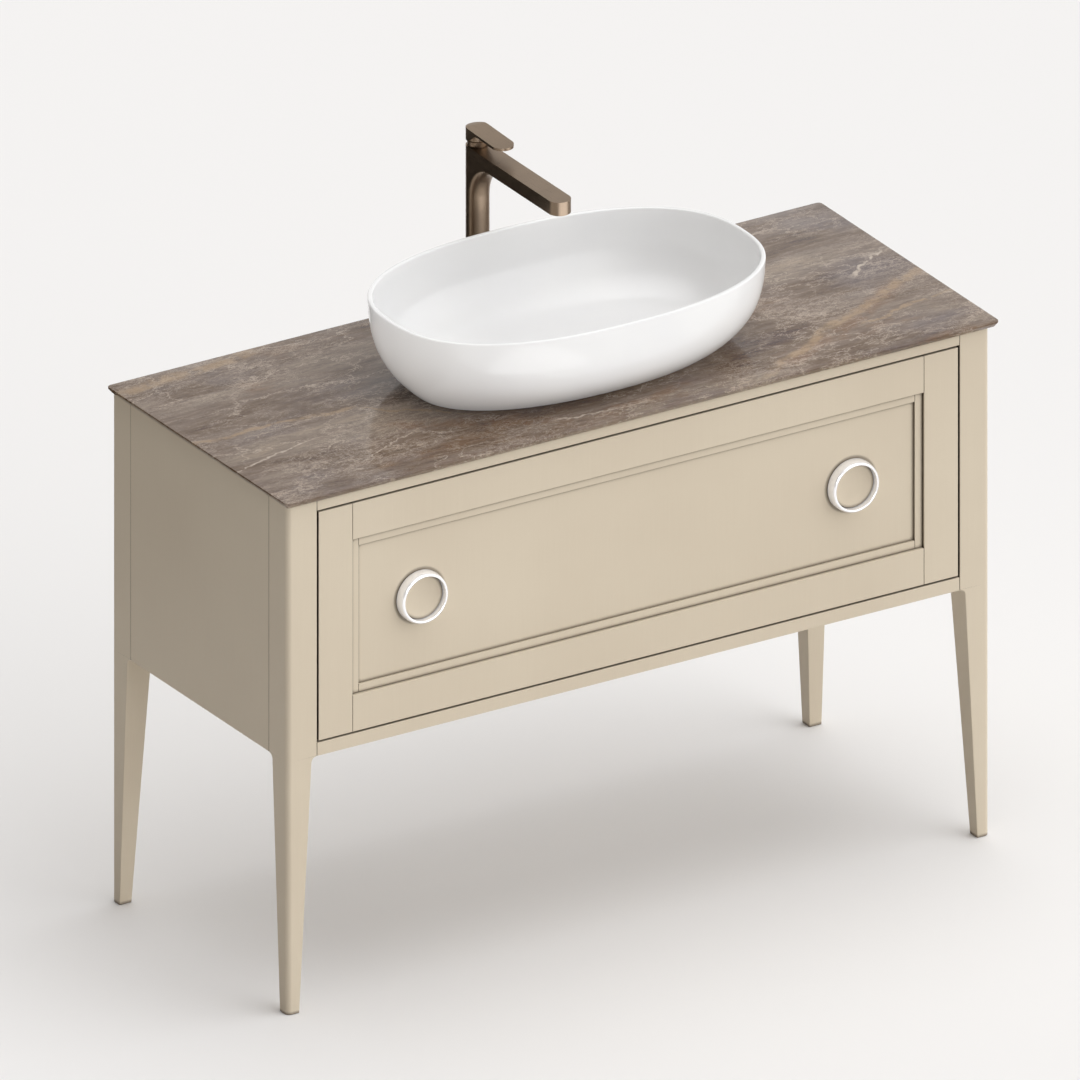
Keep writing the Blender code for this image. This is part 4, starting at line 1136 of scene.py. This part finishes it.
def make_floor():
    z = cad_bounds[0].z
    signs = ((-1, -1), (1, -1), (1, 1), (-1, 1))
    corners = [(x * FLOOR_HALF, y * FLOOR_HALF, z) for x, y in signs]
    add_sheet("floor", corners, srgb(233, 232, 231))


def make_flag():
    """Black flag behind on the left, which only polished surfaces see: it darkens their left sides."""
    low, high = cad_bounds
    y = high.y + FLAG_GAP
    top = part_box("countertop")[1].z
    start, end = FLAG_SPAN
    corners = [(start, y, low.z), (end, y, low.z), (end, y, top), (start, y, top)]
    flag = add_sheet("flag", corners, srgb(30, 26, 24))
    flag.visible_camera = False
    flag.visible_diffuse = False
    flag.visible_shadow = False


def add_light(name, place, target, receivers, size, power, glossy, colour=(1, 1, 1)):
    """Soft disk that lights only a few pieces and is shaded only by them."""
    data = bpy.data.lights.new(name, "AREA")
    data.shape = "DISK"
    data.size = size
    data.energy = power
    data.color = colour
    light = bpy.data.objects.new(name, data)
    bpy.context.scene.collection.objects.link(light)
    light.location = place
    aim = Vector(target) - Vector(place)
    light.rotation_euler = aim.to_track_quat("-Z", "Y").to_euler()
    light.visible_camera = False
    light.visible_glossy = glossy
    lit = bpy.data.collections.new(name + "_lit")
    for receiver in receivers:
        lit.objects.link(bpy.data.objects[receiver])
    light.light_linking.receiver_collection = lit
    light.light_linking.blocker_collection = lit


def make_world():
    """Pale studio: white on the right, dim and warm on the left, a key in front, bright overhead."""
    world = bpy.data.worlds.new("studio")
    bpy.context.scene.world = world
    world.use_nodes = True
    tree = world.node_tree
    place = tree.nodes.new("ShaderNodeTexCoord")
    split = tree.nodes.new("ShaderNodeSeparateXYZ")
    tree.links.new(place.outputs["Generated"], split.inputs[0])

    def ramp(level, low, high, first, second):
        node = tree.nodes.new("ShaderNodeMapRange")
        node.data_type = "FLOAT_VECTOR"
        node.interpolation_type = "SMOOTHSTEP"
        vectors = [socket for socket in node.inputs if socket.type == "VECTOR"]
        tree.links.new(level, vectors[0])
        for socket, value in zip(vectors[1:], (3 * (low,), 3 * (high,), first, second)):
            socket.default_value = value
        return next(socket for socket in node.outputs if socket.type == "VECTOR")

    facing = tree.nodes.new("ShaderNodeVectorMath")
    facing.operation = "DOT_PRODUCT"
    tree.links.new(place.outputs["Generated"], facing.inputs[0])
    facing.inputs[1].default_value = KEY_DIRECTION
    sides = ramp(split.outputs["X"], *SIDE_FADE, WORLD_LEFT, WORLD_RIGHT)
    top = ramp(split.outputs["Z"], *TOP_FADE, (0, 0, 0), WORLD_TOP)
    key = ramp(facing.outputs["Value"], *KEY_FADE, (0, 0, 0), WORLD_KEY)
    total = sides
    for part in (top, key):
        node = tree.nodes.new("ShaderNodeVectorMath")
        tree.links.new(total, node.inputs[0])
        tree.links.new(part, node.inputs[1])
        total = node.outputs[0]
    tree.links.new(total, tree.nodes["Background"].inputs["Color"])


def make_camera():
    azimuth = math.radians(VIEW_AZIMUTH)
    elevation = math.radians(VIEW_ELEVATION)
    back = Vector((
        math.sin(azimuth) * math.cos(elevation),
        -math.cos(azimuth) * math.cos(elevation),
        math.sin(elevation),
    ))
    rotation = (-back).to_track_quat("-Z", "Y")
    right = rotation @ Vector((1, 0, 0))
    up = rotation @ Vector((0, 1, 0))
    low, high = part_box("countertop")
    middle = Vector(((low.x + high.x) / 2, (low.y + high.y) / 2, high.z))
    target = middle - right * AIM_LEFT - up * AIM_DOWN
    data = bpy.data.cameras.new("camera")
    data.type = "ORTHO"
    data.ortho_scale = VIEW_WIDTH
    data.clip_end = 60.0
    camera = bpy.data.objects.new("camera", data)
    bpy.context.scene.collection.objects.link(camera)
    camera.location = target + back * VIEW_DISTANCE
    camera.rotation_mode = "QUATERNION"
    camera.rotation_quaternion = rotation
    bpy.context.scene.camera = camera


def make_stage():
    make_camera()
    make_floor()
    make_flag()
    make_world()
    centre = centre_of("sink_basin")
    basin = ["sink_basin_fine"]
    add_light("basin_left", (-3.4, 0.2, 1.75), centre, basin, size=3.2, power=68.0, glossy=False)
    add_light("basin_low", (-0.15, -0.95, 0.03), centre, basin, size=1.0, power=3.8, glossy=True)
    centre = centre_of("faucet_body")
    place = centre + Vector((0.18, -0.97, -0.44))
    metal = ["faucet_body_fine", "lever_handle_fine", "lever_collar_fine"]
    cool = (0.90, 0.98, 1.12)
    add_light("tap_front", place, centre, metal, size=1.9, power=19.0, glossy=True, colour=cool)
    centre = centre_of("drawer_panel")
    rings = ["knob_ring_left_fine", "knob_ring_right_fine"]
    add_light("knob_front", (-1.5, -2.4, 1.7), centre, rings, size=1.8, power=70.0, glossy=True)
    bpy.context.scene.view_settings.view_transform = "Standard"


make_furniture()
make_worktop()
make_basin()
make_drain()
make_trap()
make_tap_body()
make_aerator()
make_tap_fittings()
make_collar()
make_lever()
make_stem()
make_stage()
